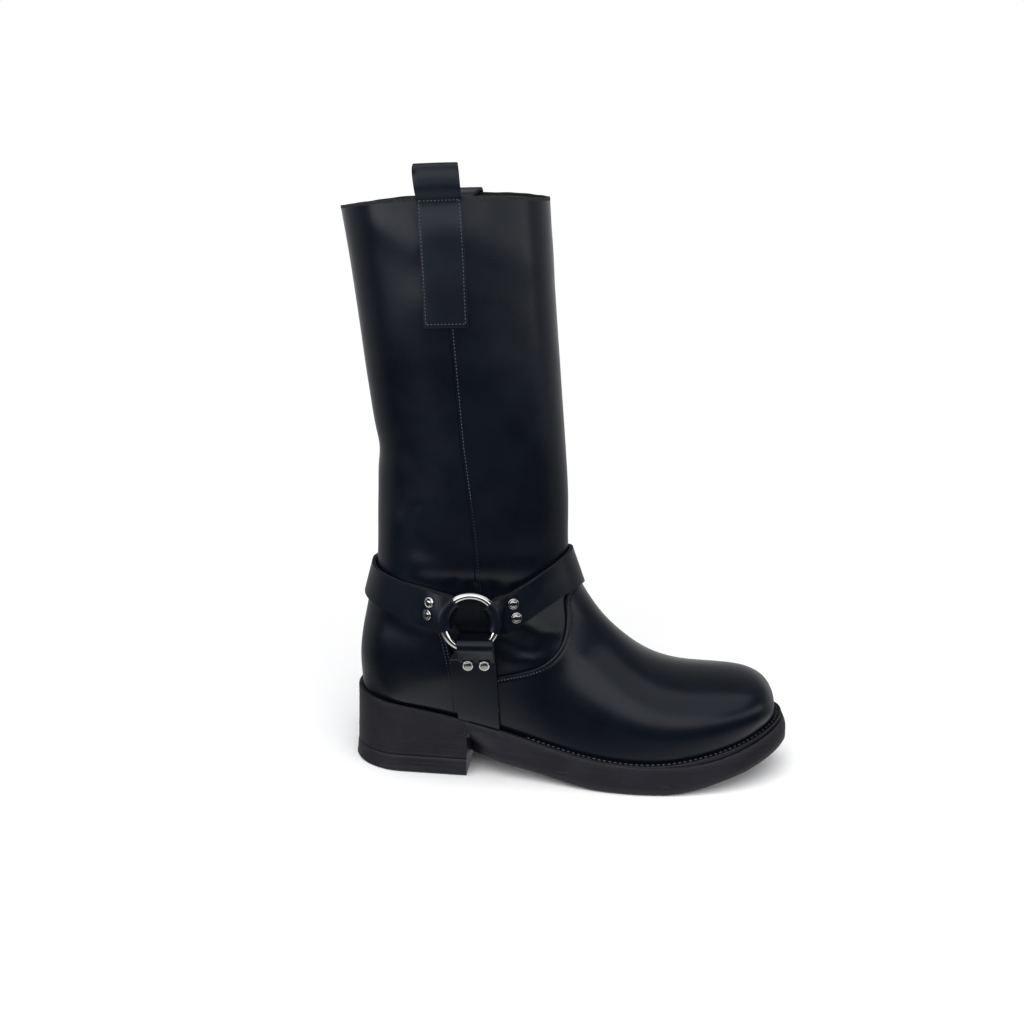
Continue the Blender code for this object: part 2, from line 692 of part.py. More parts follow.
def make_rivet(name, strap, x, z, side):
    """A domed rivet cap standing on the face of its strap."""
    face = BVHTree.FromObject(strap, bpy.context.evaluated_depsgraph_get())
    start = in_frame(side_point(x, z, side, 30.0))
    towards = in_frame(side_point(x, z, side, 0.0)) - start
    spot, normal, _, _ = face.ray_cast(start, towards)
    for _ in range(2):
        turn_to = normal.to_track_quat("Z", "Y").to_matrix()
        hits = []
        for turn in stations(0.0, 2 * math.pi, 24)[:-1]:
            for share in (0.3, 0.6, 0.85, 1.02):
                rim = Vector((math.cos(turn), math.sin(turn), 0)) * share * RIVET_RADIUS * MM
                hits.append(face.ray_cast(spot + turn_to @ rim + normal * 10 * MM, -normal))
        normal = sum((hit[1] for hit in hits), Vector()).normalized()
    spot += normal * max((hit[0] - spot).dot(normal) for hit in hits)
    bm = bmesh.new()
    profile = [bm.verts.new((r * RIVET_RADIUS * MM, 0, h * MM)) for r, h in RIVET_PROFILE]
    lines = [bm.edges.new(pair) for pair in zip(profile, profile[1:])]
    bmesh.ops.spin(
        bm, geom=profile + lines, cent=(0, 0, 0), axis=(0, 0, 1), angle=2 * math.pi,
        steps=RIVET_STEPS, use_merge=True,
    )
    place = normal.to_track_quat("Z", "Y").to_matrix().to_4x4()
    place.translation = spot + normal * RIVET_LIFT * MM
    bmesh.ops.transform(bm, matrix=place, verts=bm.verts)
    return finish(name, bm, nickel)


def share_at_x(x, v):
    """Share along section v where the side view reaches x."""
    base_x = base_point(section["run"](v))[0]
    wanted = (x - base_x) / (section["ridge_x"](v) - base_x)
    return bisect(lambda s: section_shape(s, v, LATERAL)[0] - wanted, 0.0, 1.0)


def make_pull_strap(side):
    """A band stitched to the outside of the shaft, looped over the collar and down inside it."""
    top_z = upper_point(0.25, COLLAR).z
    lowest = bisect(lambda v: upper_point(0.25, v).z - (top_z - PULL_DROP), 20.0, COLLAR)
    centres = []
    for v in stations(lowest, COLLAR, 4)[:-1]:
        down = (COLLAR - v) / (COLLAR - lowest)
        row = []
        for share in stations(-0.5, 0.5, 2):
            x = PULL_COLLAR_X + PULL_LEAN * down + share * PULL_WIDTH
            row.append(off_upper(on_side(share_at_x(x, v), side), v, GAP + PULL / 2))
        centres.append(row)
    for out, up in LOOPS[side]:
        row = []
        for share in stations(-0.5, 0.5, 2):
            u = on_side(share_at_x(PULL_COLLAR_X + share * PULL_WIDTH, COLLAR), side)
            edge = upper_point(u, COLLAR)
            rise = (edge - upper_point(u, COLLAR - 0.2)).normalized()
            row.append(edge + upper_normal(u, COLLAR - 0.1) * out + rise * up)
        centres.append(row)
    rings = []
    for i, row in enumerate(centres):
        after, before = centres[min(i + 1, len(centres) - 1)], centres[max(i - 1, 0)]
        across = row[-1] - row[0]
        faces = [across.cross(b - a).normalized() * PULL / 2 for a, b in zip(before, after)]
        inner = [p - f for p, f in zip(row, faces)]
        outer = [p + f for p, f in zip(row, faces)]
        rings.append(inner + outer[::-1])
    return bar("pull_strap_" + SIDE_NAMES[side], rings, leather)


for old in list(bpy.data.objects):
    bpy.data.objects.remove(old, do_unlink=True)

leather = material("black_leather", (0.012, 0.012, 0.014), 0.38)
rubber = material("black_rubber", (0.02, 0.02, 0.021), 0.7)
nickel = material("nickel", (0.62, 0.6, 0.56), 0.22, 1.0)
lining = material("grey_lining", (0.09, 0.088, 0.084), 0.9)

boot = bpy.data.objects.new("boot", None)
bpy.context.collection.objects.link(boot)

make_outsole()
make_top_lift()
make_welt()
make_insole()
make_upper()
make_vamp()
make_counter()

tunnels = {}
for side in (LATERAL, MEDIAL):
    make_ring("ring_" + SIDE_NAMES[side], side, RING_WIRE)
    tunnels[side] = make_ring("tunnel_" + SIDE_NAMES[side], side, RING_WIRE + GAP)

straps = {
    ("back", LATERAL): make_ankle_strap("strap_back", "back", BACK_STRAP, BACK_STRAP_MIDDLE),
    ("front", LATERAL): make_ankle_strap("strap_front", "front", FRONT_STRAP, FRONT_STRAP_MIDDLE),
}
for side in (LATERAL, MEDIAL):
    straps["down", side] = make_down_strap(side)
    make_pull_strap(side)

for side in (LATERAL, MEDIAL):
    for number, (strap, x, z) in enumerate(RIVETS):
        owner = straps.get((strap, side)) or straps[strap, LATERAL]
        make_rivet("rivet_" + SIDE_NAMES[side] + "_" + strap + "_" + str(number % 2 + 1), owner, x, z, side)
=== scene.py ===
"""Finish of a black leather harness boot: leather, lining, rubber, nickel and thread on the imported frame.

Axes: +X to the toe, +Y to the medial side, +Z up. Tables are millimetres from the back of the sole.
"""

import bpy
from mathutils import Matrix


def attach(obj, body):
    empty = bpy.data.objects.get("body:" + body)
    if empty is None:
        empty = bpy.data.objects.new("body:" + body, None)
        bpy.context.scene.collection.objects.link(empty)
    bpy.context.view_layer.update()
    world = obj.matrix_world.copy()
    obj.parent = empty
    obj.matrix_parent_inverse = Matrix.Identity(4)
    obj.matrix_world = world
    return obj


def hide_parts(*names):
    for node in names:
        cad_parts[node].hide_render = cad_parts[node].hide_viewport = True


bl_info = {
    "name": "Harness Boot Finish",
    "version": (1, 0, 0),
    "blender": (4, 5, 0),
    "location": "View3D > Sidebar > Boot",
    "description": "Dresses the packed boot with leather, lining, rubber, nickel and thread",
    "category": "Object",
}

import math

import bmesh
import bpy
import numpy as np
from bpy.props import FloatProperty, FloatVectorProperty, PointerProperty
from mathutils import Matrix, Vector
from mathutils.bvhtree import BVHTree

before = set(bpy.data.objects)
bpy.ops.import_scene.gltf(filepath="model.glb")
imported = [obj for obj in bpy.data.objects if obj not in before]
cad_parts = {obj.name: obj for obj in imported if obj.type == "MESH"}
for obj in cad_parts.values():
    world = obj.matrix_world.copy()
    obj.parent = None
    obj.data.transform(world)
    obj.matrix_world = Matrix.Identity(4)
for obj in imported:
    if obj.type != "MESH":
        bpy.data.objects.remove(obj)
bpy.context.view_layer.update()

MM = 0.001
LATERAL, MEDIAL = -1, 1
SIDE_NAMES = {LATERAL: "lateral", MEDIAL: "medial"}

# Middle of the boot's box in table millimetres, and the gap between neighbouring pieces
CENTRE_X, CENTRE_Y = 138.3, -0.27
GAP = 0.3

# Form of the boot: its solids' values, a few of them measured again in the photograph
LENGTH = 280.0
HEEL_ROUND = 36.0
HEEL_BREAST_X = 76.5
BREAST_SLOPE = 1.5
BALL_X = {LATERAL: 186.0, MEDIAL: 200.0}
TOE_POWER = {LATERAL: 1.95, MEDIAL: 2.2}
TOP_LIFT_HEIGHT = 11.0
HEEL_FLARE = 1.0
BUMPER_FROM = 0.6
TOE_BUMPER = 2.4
SOLE_EDGE_ROUND = 2.6
WAIST_TUCK = 13.0
WAIST_TUCK_TURN = 0.07
WELT_THICKNESS = 3.2
WELT_WIDTH = 14.0
WELT_INSET = 1.2
FEATHER_INSET = 7.5
HEEL_INSET_SHARE = 0.8
TOE_INSET_SHARE = 1.2
WALL = 2.0
OVERLAY = 1.5
OVERLAY_GAP = 0.65
VAMP_FIRST = 0.5
COLLAR_RISE = {LATERAL: 4.2, MEDIAL: 3.8}
COLLAR_RISE_POWER = 6
COLLAR_HALF = 51.3
COLLAR_EDGE = 0.085
COLLAR_WAVE = 0.1
LEAST_BULGE = 1.02
STRAP = 2.4
RING_X, RING_Z = 79.0, 107.4
RING_RADIUS = 16.7
RING_TILT = 8.0
RING_WIRE = 2.5
RING_LIFT = 6.6
RIVET_RADIUS = 3.4
# Share of the rivet's radius inside which its cap is painted darker: a painted dark reflection
CAP_SHARE = 0.72
RIVET_SEAT_SHARE = 0.8
RIVET_SEEN_FROM = 30.0
PULL_WIDTH = 25.2
PULL_COLLAR_X = 61.0
PULL_LEAN = 4.3
PULL_DROP = 74.3
PULL = 2.2
PULL_OFF = 0.2

# Half widths of the sole, heights of its seat and underside, and the back line of the upper
PLAN_COLUMNS = ("x", "lateral", "medial")
PLAN = (
    (36, 34.8, 34.2),
    (70, 36.3, 34.4),
    (110, 39.6, 34.6),
    (150, 49.2, 41.0),
    (186, 54.0, 47.6),
    (200, 54.0, 48.6),
)
SEAT_COLUMNS = ("x", "top")
SEAT = (
    (0, 49.4), (36, 44.6), (70, 38.6), (120, 27.2), (150, 21.9),
    (180, 19.4), (205, 20.2), (230, 24.2), (255, 30.8), (280, 40.4),
)
UNDERSIDE_COLUMNS = ("x", "bottom")
UNDERSIDE = (
    (70, 12.8), (90, 10.6), (100, 9.4), (125, 5.4), (145, 2.0), (158, 0.4), (166, 0.0),
    (204, 0.0), (214, 1.0), (230, 4.3), (255, 11.2), (280, 20.8),
)
BACK_COLUMNS = ("z", "x")
BACK = (
    (48.9, 6.0), (55, 5.3), (62, 5.0), (70, 5.0), (79, 5.5), (91, 6.8), (103, 8.4),
    (115, 10.7), (128, 13.2), (141, 14.4), (157, 14.7), (178, 14.8), (197, 15.0),
    (209, 15.1), (217, 14.3), (230, 12.5), (255, 8.9), (285, 4.9), (315, 0.8), (340, -3.0),
    (356, -5.8),
)
# Sections of the upper from the toe to the collar: ridge, run of the base, half widths, and how square they are
SECTION_COLUMNS = ("ridge_x", "ridge_z", "run", "lateral", "medial", "widest", "top_square", "low_square")
SECTIONS = (
    (271.0, 37.2, -265.0, 0.0, 0.0, 0.34, 0.03, 0.0),
    (271.7, 42.6, -262.0, 12.5, 12.3, 0.34, 0.04, 0.0),
    (270.7, 49.4, -256.0, 22.0, 21.8, 0.34, 0.05, 0.0),
    (267.3, 55.4, -248.5, 29.4, 29.2, 0.33, 0.06, 0.0),
    (261.5, 59.5, -240.5, 34.8, 34.6, 0.32, 0.06, 0.0),
    (253.0, 61.9, -232.0, 38.8, 38.4, 0.32, 0.06, 0.0),
    (241.0, 63.0, -222.5, 42.2, 41.2, 0.32, 0.055, 0.0),
    (226.0, 63.5, -210.0, 45.4, 43.0, 0.32, 0.05, 0.0),
    (210.5, 64.9, -195.5, 47.6, 43.6, 0.32, 0.045, 0.0),
    (196.5, 68.8, -179.0, 48.2, 43.0, 0.33, 0.04, 0.0),
    (184.5, 75.2, -161.0, 46.6, 41.4, 0.34, 0.03, 0.0),
    (173.5, 83.6, -141.0, 43.4, 39.0, 0.37, 0.02, 0.0),
    (164.3, 92.2, -119.5, 39.8, 37.0, 0.40, 0.01, 0.0),
    (156.5, 100.8, -96.5, 37.8, 36.0, 0.43, 0.01, 0.0),
    (150.2, 109.4, -71.5, 37.4, 36.0, 0.46, 0.01, 0.0),
    (144.5, 118.5, -44.5, 38.0, 36.8, 0.48, 0.02, 0.0),
    (140.2, 128.0, -17.0, 38.8, 38.0, 0.48, 0.02, 0.01),
    (137.6, 137.8, 10.5, 39.6, 39.2, 0.48, 0.02, 0.02),
    (136.5, 148.5, 38.0, 40.6, 40.4, 0.48, 0.02, 0.03),
    (136.2, 160.5, 66.0, 41.8, 41.6, 0.49, 0.02, 0.03),
    (136.0, 175.0, 94.5, 43.0, 43.0, 0.50, 0.02, 0.03),
    (135.2, 191.0, 121.5, 44.1, 44.1, 0.50, 0.02, 0.03),
    (133.7, 209.0, 147.5, 45.2, 45.2, 0.50, 0.02, 0.02),
    (131.7, 231.0, 175.0, 46.4, 46.4, 0.50, 0.02, 0.02),
    (128.9, 263.0, 209.0, 48.0, 48.0, 0.50, 0.02, 0.02),
    (125.4, 303.0, 249.0, 49.7, 49.7, 0.50, 0.02, 0.02),
    (122.4, 340.0, 284.0, 50.8, 50.8, 0.50, 0.02, 0.02),
    (120.7, 364.0, 307.1, 51.3, 51.3, 0.50, 0.02, 0.02),
)
COLLAR = len(SECTIONS) - 1

# Edges of the overlays and the side seam seen from the side, and where their thread is light; past these the thread
# is painted near black as painted shade
EDGE_COLUMNS = ("x", "z")
VAMP_EDGE = (
    (80, 46), (83, 58.5), (90, 66.5), (99, 69.8), (113, 73.2), (124, 77.4), (131.5, 83.5), (136.4, 92),
    (137.8, 101.5), (137.2, 110), (136.6, 117),
)
COUNTER_EDGE = ((73.2, 41.5), (72.4, 55), (71, 68), (68.8, 79), (65.4, 92), (61.5, 104))
COUNTER_TOP_BACK_Z = 117.0
SEAM_LIT_THREAD_FROM = 185.0
VAMP_LIT_THREAD_TO = 124.0
COUNTER_LIT_THREAD_FROM = 77.0
SIDE_SEAM = ((82.9, 128.1), (81.5, 140.9), (73.2, 216.8), (66.8, 288.6), (61.6, 361.0))

# Ankle straps from the ring on: x and z of the low edge and of the top edge, and both heights in the middle
BACK_STRAP = ((50.0, 103.6, 50.0, 127.4), (33.0, 107.4, 34.0, 129.6))
BACK_STRAP_MIDDLE = (113.0, 133.6)
FRONT_STRAP = ((102.5, 99.0, 102.5, 124.0), (122.5, 112.0, 121.5, 135.6))
FRONT_STRAP_MIDDLE = (120.0, 144.2)

# Down straps and their folded tabs
DOWN_STRAP_COLUMNS = ("z", "back_x", "front_x")
DOWN_STRAP = (
    (82.0, 66.8, 94.6), (71.0, 68.6, 95.6), (60.0, 69.8, 96.4), (46.5, 71.2, 97.4), (36.0, 72.0, 98.0),
)
DOWN_STRAP_LOW_Z = 40.0
TAB_FROM = 0.2
TAB_SIDE_STEP = 0.012
TAB_TOP = (71.0, 92.8)
TAB_END_Z = 72.0
TAB_END_STEP = 0.35

# Lift of the ankle straps' low edge at ring and middle, then of the top edge, and degrees of their folds on the ring
LIFTS = {"back": (2.9, 2.9, 1.3, 0.8), "front": (0.6, 2.4, 0.6, 0.6)}
WRAPS = {"back": (197.0, 127.0), "front": (-20.0, 44.0)}

# Line of a strap's fold over the ring's wire, and of a tab's
FOLD_COLUMNS = ("reach", "rise")
FOLD = ((-5.2, 0.0), (-4.6, 2.5), (-2.8, 4.5), (-0.2, 5.2), (2.4, 4.8))
TAB_COLUMNS = ("drop", "rise")
TAB = ((9.9, 0.0), (10.2, 2.4), (11.5, 4.3), (14.0, 5.2), (17.0, 5.0))

# Rivets by strap, x and z, and their profile: shares of the radius, and heights
RIVETS = (
    ("back", 55.6, 120.4), ("back", 54.4, 112.6),
    ("front", 104.0, 118.6), ("front", 106.6, 108.8),
    ("down", 78.2, 79.6), ("down", 88.4, 79.8),
)
RIVET_PROFILE = (
    (0.0, 0.0), (1.0, 0.0), (1.04, 0.25), (1.03, 0.55), (0.97, 0.82), (0.88, 0.92), (0.8, 0.88), (0.74, 0.86),
    (0.66, 1.02), (0.54, 1.22), (0.4, 1.36), (0.2, 1.46), (0.0, 1.48),
)

# Loops of the pull straps: out of the collar and up from it
LOOPS = {
    LATERAL: (
        (1.4, 0), (2.8, 4.4), (3.2, 8.6), (3.0, 13.3), (1.6, 16.5), (-1.4, 17.8),
        (-4.4, 16.5), (-6.1, 13.3), (-6.4, 9.4), (-5.4, 4.4), (-3.5, 0), (-3.45, -10), (-3.45, -22),
    ),
    MEDIAL: (
        (1.4, 0), (1.3, 0.9), (0.5, 1.7), (-1.4, 2.1), (-5, 1.5), (-11, 0.2), (-16, -0.8), (-19.4, -2.6),
        (-20.6, -6.0), (-19.4, -9.2), (-16, -10.4), (-11, -10.8), (-7.4, -11.8), (-5.0, -14.4), (-3.9, -18),
        (-3.5, -22), (-3.45, -26),
    ),
}

# Creases, given one by one: sides, x and z of both ends seen from the side, width, and depth (below 0 a ridge)
CREASES = (
    ((LATERAL, MEDIAL), 40, 141, 112, 138, 7.0, -0.9),
    ((LATERAL, MEDIAL), 44, 131, 104, 127, 5.0, 1.0),
    ((LATERAL,), 47, 172, 40, 140, 6.0, 1.3),
    ((LATERAL,), 30, 165, 27, 143, 8.0, -0.8),
    ((LATERAL,), 36, 214, 14, 208, 10.0, 1.0),
    ((LATERAL,), 60, 206, 28, 186, 14.0, 0.8),
    ((LATERAL,), 118, 190, 96, 172, 14.0, 0.7),
    ((MEDIAL,), 50, 176, 36, 148, 8.0, 1.2),
    ((MEDIAL,), 112, 200, 92, 176, 14.0, 0.8),
    ((MEDIAL,), 40, 214, 14, 210, 10.0, 1.0),
    ((LATERAL, MEDIAL), 22, 70, 58, 68, 15.0, -1.8),
    ((LATERAL, MEDIAL), 18, 103, 56, 97, 11.0, 1.8),
    ((LATERAL, MEDIAL), 22, 348, 46, 336, 10.0, -0.7),
    ((LATERAL, MEDIAL), 84, 344, 112, 330, 14.0, -0.6),
    ((LATERAL, MEDIAL), 150, 84, 126, 66, 12.0, 0.7),
    ((LATERAL,), 99, 104, 117, 103, 4.5, -0.8),
    ((LATERAL,), 118, 98, 132, 98, 4.0, -0.7),
    ((LATERAL,), 98, 94, 117, 86, 5.5, 1.0),
    ((LATERAL,), 104, 79, 122, 82, 4.0, -0.5),
    ((LATERAL,), 48, 300, 30, 262, 16.0, -0.7),
    ((LATERAL,), 96, 262, 108, 226, 16.0, -0.6),
    ((LATERAL,), 26, 236, 58, 228, 12.0, -0.5),
)
CREASE_SIDE_FADE = 5.0


class Curve:
    """A natural cubic curve through one column of a table."""

    def __init__(self, knots, values):
        self.k = np.array(knots, float)
        self.y = np.array(values, float)
        h = np.diff(self.k)
        n = len(self.k)
        a = np.eye(n)
        r = np.zeros(n)
        for i in range(1, n - 1):
            a[i, i - 1 : i + 2] = h[i - 1], 2 * (h[i - 1] + h[i]), h[i]
            r[i] = 6 * ((self.y[i + 1] - self.y[i]) / h[i] - (self.y[i] - self.y[i - 1]) / h[i - 1])
        self.m = np.linalg.solve(a, r)

    def __call__(self, x):
        x = np.asarray(x, float)
        i = np.clip(np.searchsorted(self.k, x) - 1, 0, len(self.k) - 2)
        h = self.k[i + 1] - self.k[i]
        p = (self.k[i + 1] - x) / h
        q = 1 - p
        bend = ((p**3 - p) * self.m[i] + (q**3 - q) * self.m[i + 1]) * h * h / 6
        return p * self.y[i] + q * self.y[i + 1] + bend


def column(table, columns, name):
    """One named column of a table."""
    return [row[columns.index(name)] for row in table]


def curve(table, columns, across, value):
    """The curve of one column over another."""
    return Curve(column(table, columns, across), column(table, columns, value))


seat = curve(SEAT, SEAT_COLUMNS, "x", "top")
back_line = curve(BACK, BACK_COLUMNS, "z", "x")
plan = {side: curve(PLAN, PLAN_COLUMNS, "x", SIDE_NAMES[side]) for side in (LATERAL, MEDIAL)}
section = {
    name: Curve(range(len(SECTIONS)), column(SECTIONS, SECTION_COLUMNS, name)) for name in SECTION_COLUMNS
}

# The turn from seat to back line: its x, its section number, and how far and over how many sections it is eased
HEEL_CORNER_X = FEATHER_INSET * HEEL_INSET_SHARE
HEEL_TURN = 16.62
HEEL_TURN_EASE = 0.35
HEEL_TURN_SPREAD = 0.8


def underside(x):
    """Height of the sole's underside ahead of the heel, level where it meets the floor."""
    along, height = (column(UNDERSIDE, UNDERSIDE_COLUMNS, name) for name in UNDERSIDE_COLUMNS)
    return np.interp(x, along, height)


def bisect(function, low, high):
    """Where a rising function crosses zero, for every value at once."""
    for _ in range(40):
        middle = (low + high) / 2
        below = function(middle) < 0
        low, high = np.where(below, middle, low), np.where(below, high, middle)
    return (low + high) / 2


def plan_half(x, side, inset=0.0):
    """Half width of the sole outline, moved in by inset, at x from the back of the sole."""
    ball, power = BALL_X[side], TOE_POWER[side]
    heel, toe = inset * HEEL_INSET_SHARE, LENGTH - inset * TOE_INSET_SHARE
    heel_share = np.clip((HEEL_ROUND - x) / (HEEL_ROUND - heel), 0, 1)
    toe_share = np.clip((x - ball) / (toe - ball), 0, 1)
    middle = plan[side](np.clip(x, HEEL_ROUND, ball)) - inset
    return middle * np.sqrt(1 - heel_share**2) * (1 - toe_share**power) ** (1 / power)


def base_points(run):
    """Side view point of a section's base: on the seat behind the toe, or up the back line."""
    on_seat = HEEL_CORNER_X - run
    up_back = seat(HEEL_CORNER_X) + GAP + run
    x = np.where(run < 0, on_seat, back_line(np.maximum(up_back, BACK[0][0])))
    return x, np.where(run < 0, seat(np.maximum(on_seat, 0)) + GAP, up_back)


def section_shape(share, v, medial):
    """Share of the way from base to ridge, and half width, at share 0 (base) to 1 (ridge)."""
    run, widest = section["run"](v), section["widest"](v)
    base_x = base_points(run)[0]
    foot = np.where(medial, *(plan_half(base_x, side, FEATHER_INSET) for side in (MEDIAL, LATERAL)))
    foot = np.where(run < 0, foot, 0.0)
    full = np.where(medial, section["medial"](v), section["lateral"](v))
    full = np.maximum(full, foot * LEAST_BULGE)
    low = share < widest
    turn = np.where(low, share / widest, (share - widest) / (1 - widest)) * math.pi / 2
    square = np.where(low, section["low_square"](v), section["top_square"](v))
    fill = 1 + square * np.sin(2 * turn) ** 2
    along = np.where(low, widest * (1 - np.cos(turn) * fill), widest + (1 - widest) * np.sin(turn) * fill)
    half = np.where(low, foot + (full - foot) * np.sin(turn) * fill, full * np.cos(turn) * fill)
    return along, half


def upper_points(u, v):
    """Points on the upper's face: u 0 to 1 from the lateral base over the ridge to the medial base."""
    u, v = np.broadcast_arrays(np.asarray(u, float), np.clip(np.asarray(v, float), 0.0, COLLAR))
    medial = u > 0.5
    base_x, base_z = base_points(section["run"](v))
    along, half = section_shape(np.clip(np.where(medial, 2 - 2 * u, 2 * u), 0, 1), v, medial)
    x = base_x + along * (section["ridge_x"](v) - base_x)
    z = base_z + along * (section["ridge_z"](v) - base_z)
    rise = np.where(medial, COLLAR_RISE[MEDIAL], COLLAR_RISE[LATERAL])
    z = z + rise * (half / COLLAR_HALF) ** 2 * (v / COLLAR) ** COLLAR_RISE_POWER
    return np.stack((x, np.where(medial, half, -half), z), axis=-1)


def bell(distance, width):
    """1 at no distance, fading to nothing over about twice the width."""
    return np.exp(-((distance / width) ** 2))


def unit(vectors):
    """Vectors of length 1."""
    return vectors / np.maximum(np.linalg.norm(vectors, axis=-1, keepdims=True), 1e-9)


def upper_normals(u, v):
    """Directions straight out of the upper's face, eased over the turn from seat to back line."""
    du, dv = 2e-3, 0.01 + HEEL_TURN_EASE * bell(np.asarray(v, float) - HEEL_TURN, HEEL_TURN_SPREAD)
    across = upper_points(np.minimum(u + du, 1), v) - upper_points(np.maximum(u - du, 0), v)
    return unit(np.cross(across, upper_points(u, v + dv) - upper_points(u, v - dv)))


def crease_depths(points):
    """How far the listed creases sink the leather at each point."""
    x, y, z = np.moveaxis(points, -1, 0)
    depth = np.zeros_like(x)
    for sides, x0, z0, x1, z1, width, deep in CREASES:
        dx, dz = x1 - x0, z1 - z0
        along = np.clip(((x - x0) * dx + (z - z0) * dz) / (dx**2 + dz**2), 0, 1)
        off = (x - x0 - along * dx) ** 2 + (z - z0 - along * dz) ** 2
        for side in sides:
            depth += deep * np.exp(-off / width**2) / (1 + np.exp(-side * y / CREASE_SIDE_FADE))
    return depth


def off_upper(u, v, out):
    """Points out from the creased leather by out."""
    points = upper_points(u, v)
    out = np.asarray(out, float) - crease_depths(points)
    return points + upper_normals(u, v) * out[..., None]


def find_on_upper(x, z):
    """(share, v) of side view points."""
    x, z = np.broadcast_arrays(np.asarray(x, float), np.asarray(z, float))

    def above(v):
        base_x, base_z = base_points(section["run"](v))
        return (section["ridge_z"](v) - base_z) * (x - base_x) - (section["ridge_x"](v) - base_x) * (z - base_z)

    v = bisect(above, np.ones_like(x), np.full_like(x, COLLAR))
    base_x, base_z = base_points(section["run"](v))
    reach_x, reach_z = section["ridge_x"](v) - base_x, section["ridge_z"](v) - base_z
    wanted = ((x - base_x) * reach_x + (z - base_z) * reach_z) / (reach_x**2 + reach_z**2)
    share = bisect(lambda s: section_shape(s, v, False)[0] - wanted, np.zeros_like(x), np.ones_like(x))
    return share, v


def on_side(share, side):
    """Place u on the upper for a share from base to ridge on one side."""
    return share / 2 if side == LATERAL else 1 - share / 2


def side_points(x, z, side, out):
    """Points out from the leather at side view places x, z."""
    share, v = find_on_upper(x, z)
    return off_upper(on_side(share, side), v, out)


def share_at_x(x, v):
    """Share along section v where the side view reaches x."""
    base_x = base_points(section["run"](v))[0]
    wanted = (x - base_x) / (section["ridge_x"](v) - base_x)
    return bisect(lambda s: section_shape(s, v, False)[0] - wanted, np.zeros_like(wanted), np.ones_like(wanted))


def outline_points(turn, side, inset):
    """Plan points at turn 0 (heel) to 1 (toe) of one side's outline, moved in square to it."""
    step = 0.02

    def x_at(t):
        return LENGTH * (1 - np.cos(np.clip(t, 0, 1) * math.pi)) / 2

    before, after = x_at(turn - step), x_at(turn + step)
    along = np.stack((after - before, plan_half(after, side) - plan_half(before, side)), axis=-1)
    along[turn <= 0] = (0, 1)
    along[turn >= 1] = (0, -1)
    along = unit(along)
    half = plan_half(x_at(turn), side) - inset * along[..., 0]
    return x_at(turn) + inset * along[..., 1], side * np.maximum(half, 0.0)


def turn_at(x):
    """Turn of the outline, 0 (heel) to 1 (toe), at x."""
    return math.acos(1 - 2 * x / LENGTH) / math.pi


def in_frame(points):
    """Table millimetres to metres in the boot's frame."""
    return (np.asarray(points, float) - (CENTRE_X, CENTRE_Y, 0)) * MM


class Sizes(bpy.types.PropertyGroup):
    """Sizes of the finish that a maker would change."""

    stitch_length: FloatProperty(
        name="Stitch Length", description="Length of one stitch on the leather", default=0.0015,
        min=0.0005, unit="LENGTH", precision=4,
    )
    stitch_pitch: FloatProperty(
        name="Stitch Pitch", description="From one stitch to the next on the leather", default=0.0021,
        min=0.001, unit="LENGTH", precision=4,
    )
    thread: FloatProperty(
        name="Thread", description="Thickness of the thread", default=0.00075, min=0.0001, unit="LENGTH",
        precision=4,
    )
    welt_pitch: FloatProperty(
        name="Welt Pitch", description="From one welt stitch to the next", default=0.0034, min=0.001,
        unit="LENGTH", precision=4,
    )
    cut_edge: FloatProperty(
        name="Cut Edge", description="Rounding of the leather's cut edges", default=0.00035, min=0.0,
        unit="LENGTH", precision=5,
    )
    grain: FloatProperty(
        name="Grain", description="Size of the leather's grain", default=0.0009, min=0.0001, unit="LENGTH",
        precision=5,
    )
    seam_step: FloatProperty(
        name="Seam Step", description="Rise of the front panel over the back panel", default=0.0006, min=0.0,
        unit="LENGTH", precision=5,
    )


class Finishes(bpy.types.PropertyGroup):
    """Colours and gloss of the boot's materials."""

    leather: FloatVectorProperty(
        name="Leather", description="Colour of the dyed leather", subtype="COLOR", size=3,
        default=(0.0021, 0.0041, 0.0086), min=0, max=1,
    )
    leather_roughness: FloatProperty(
        name="Leather Roughness", description="Softness of the leather's gloss", default=0.29, min=0, max=1,
        subtype="FACTOR",
    )
    cut_leather: FloatVectorProperty(
        name="Cut Leather", description="Colour of raw cut edges", subtype="COLOR", size=3,
        default=(0.012, 0.0125, 0.015), min=0, max=1,
    )
    lining: FloatVectorProperty(
        name="Lining", description="Colour of the napped inside", subtype="COLOR", size=3,
        default=(0.045, 0.045, 0.045), min=0, max=1,
    )
    rubber: FloatVectorProperty(
        name="Rubber", description="Colour of sole, heel and welt", subtype="COLOR", size=3,
        default=(0.0098, 0.0098, 0.0152), min=0, max=1,
    )
    nickel: FloatVectorProperty(
        name="Nickel", description="Colour of rings and rivets", subtype="COLOR", size=3,
        default=(0.34, 0.338, 0.333), min=0, max=1,
    )
    thread: FloatVectorProperty(
        name="Thread", description="Colour of the leather's thread", subtype="COLOR", size=3,
        default=(0.05, 0.056, 0.07), min=0, max=1,
    )
    # Thread painted near black as painted shade, for the parts of rows that lie in shade
    painted_shade_thread: FloatVectorProperty(
        name="Dark Thread", description="Colour of the thread on counter and low seams", subtype="COLOR", size=3,
        default=(0.008, 0.009, 0.011), min=0, max=1,
    )
    welt_thread: FloatVectorProperty(
        name="Welt Thread", description="Colour of the welt's thread", subtype="COLOR", size=3,
        default=(0.045, 0.045, 0.05), min=0, max=1,
    )


def feed(tree, socket, value):
    """Links a wire to a socket, or sets the socket's own value."""
    if isinstance(value, Wire):
        tree.links.new(value.socket, socket)
    else:
        socket.default_value = value


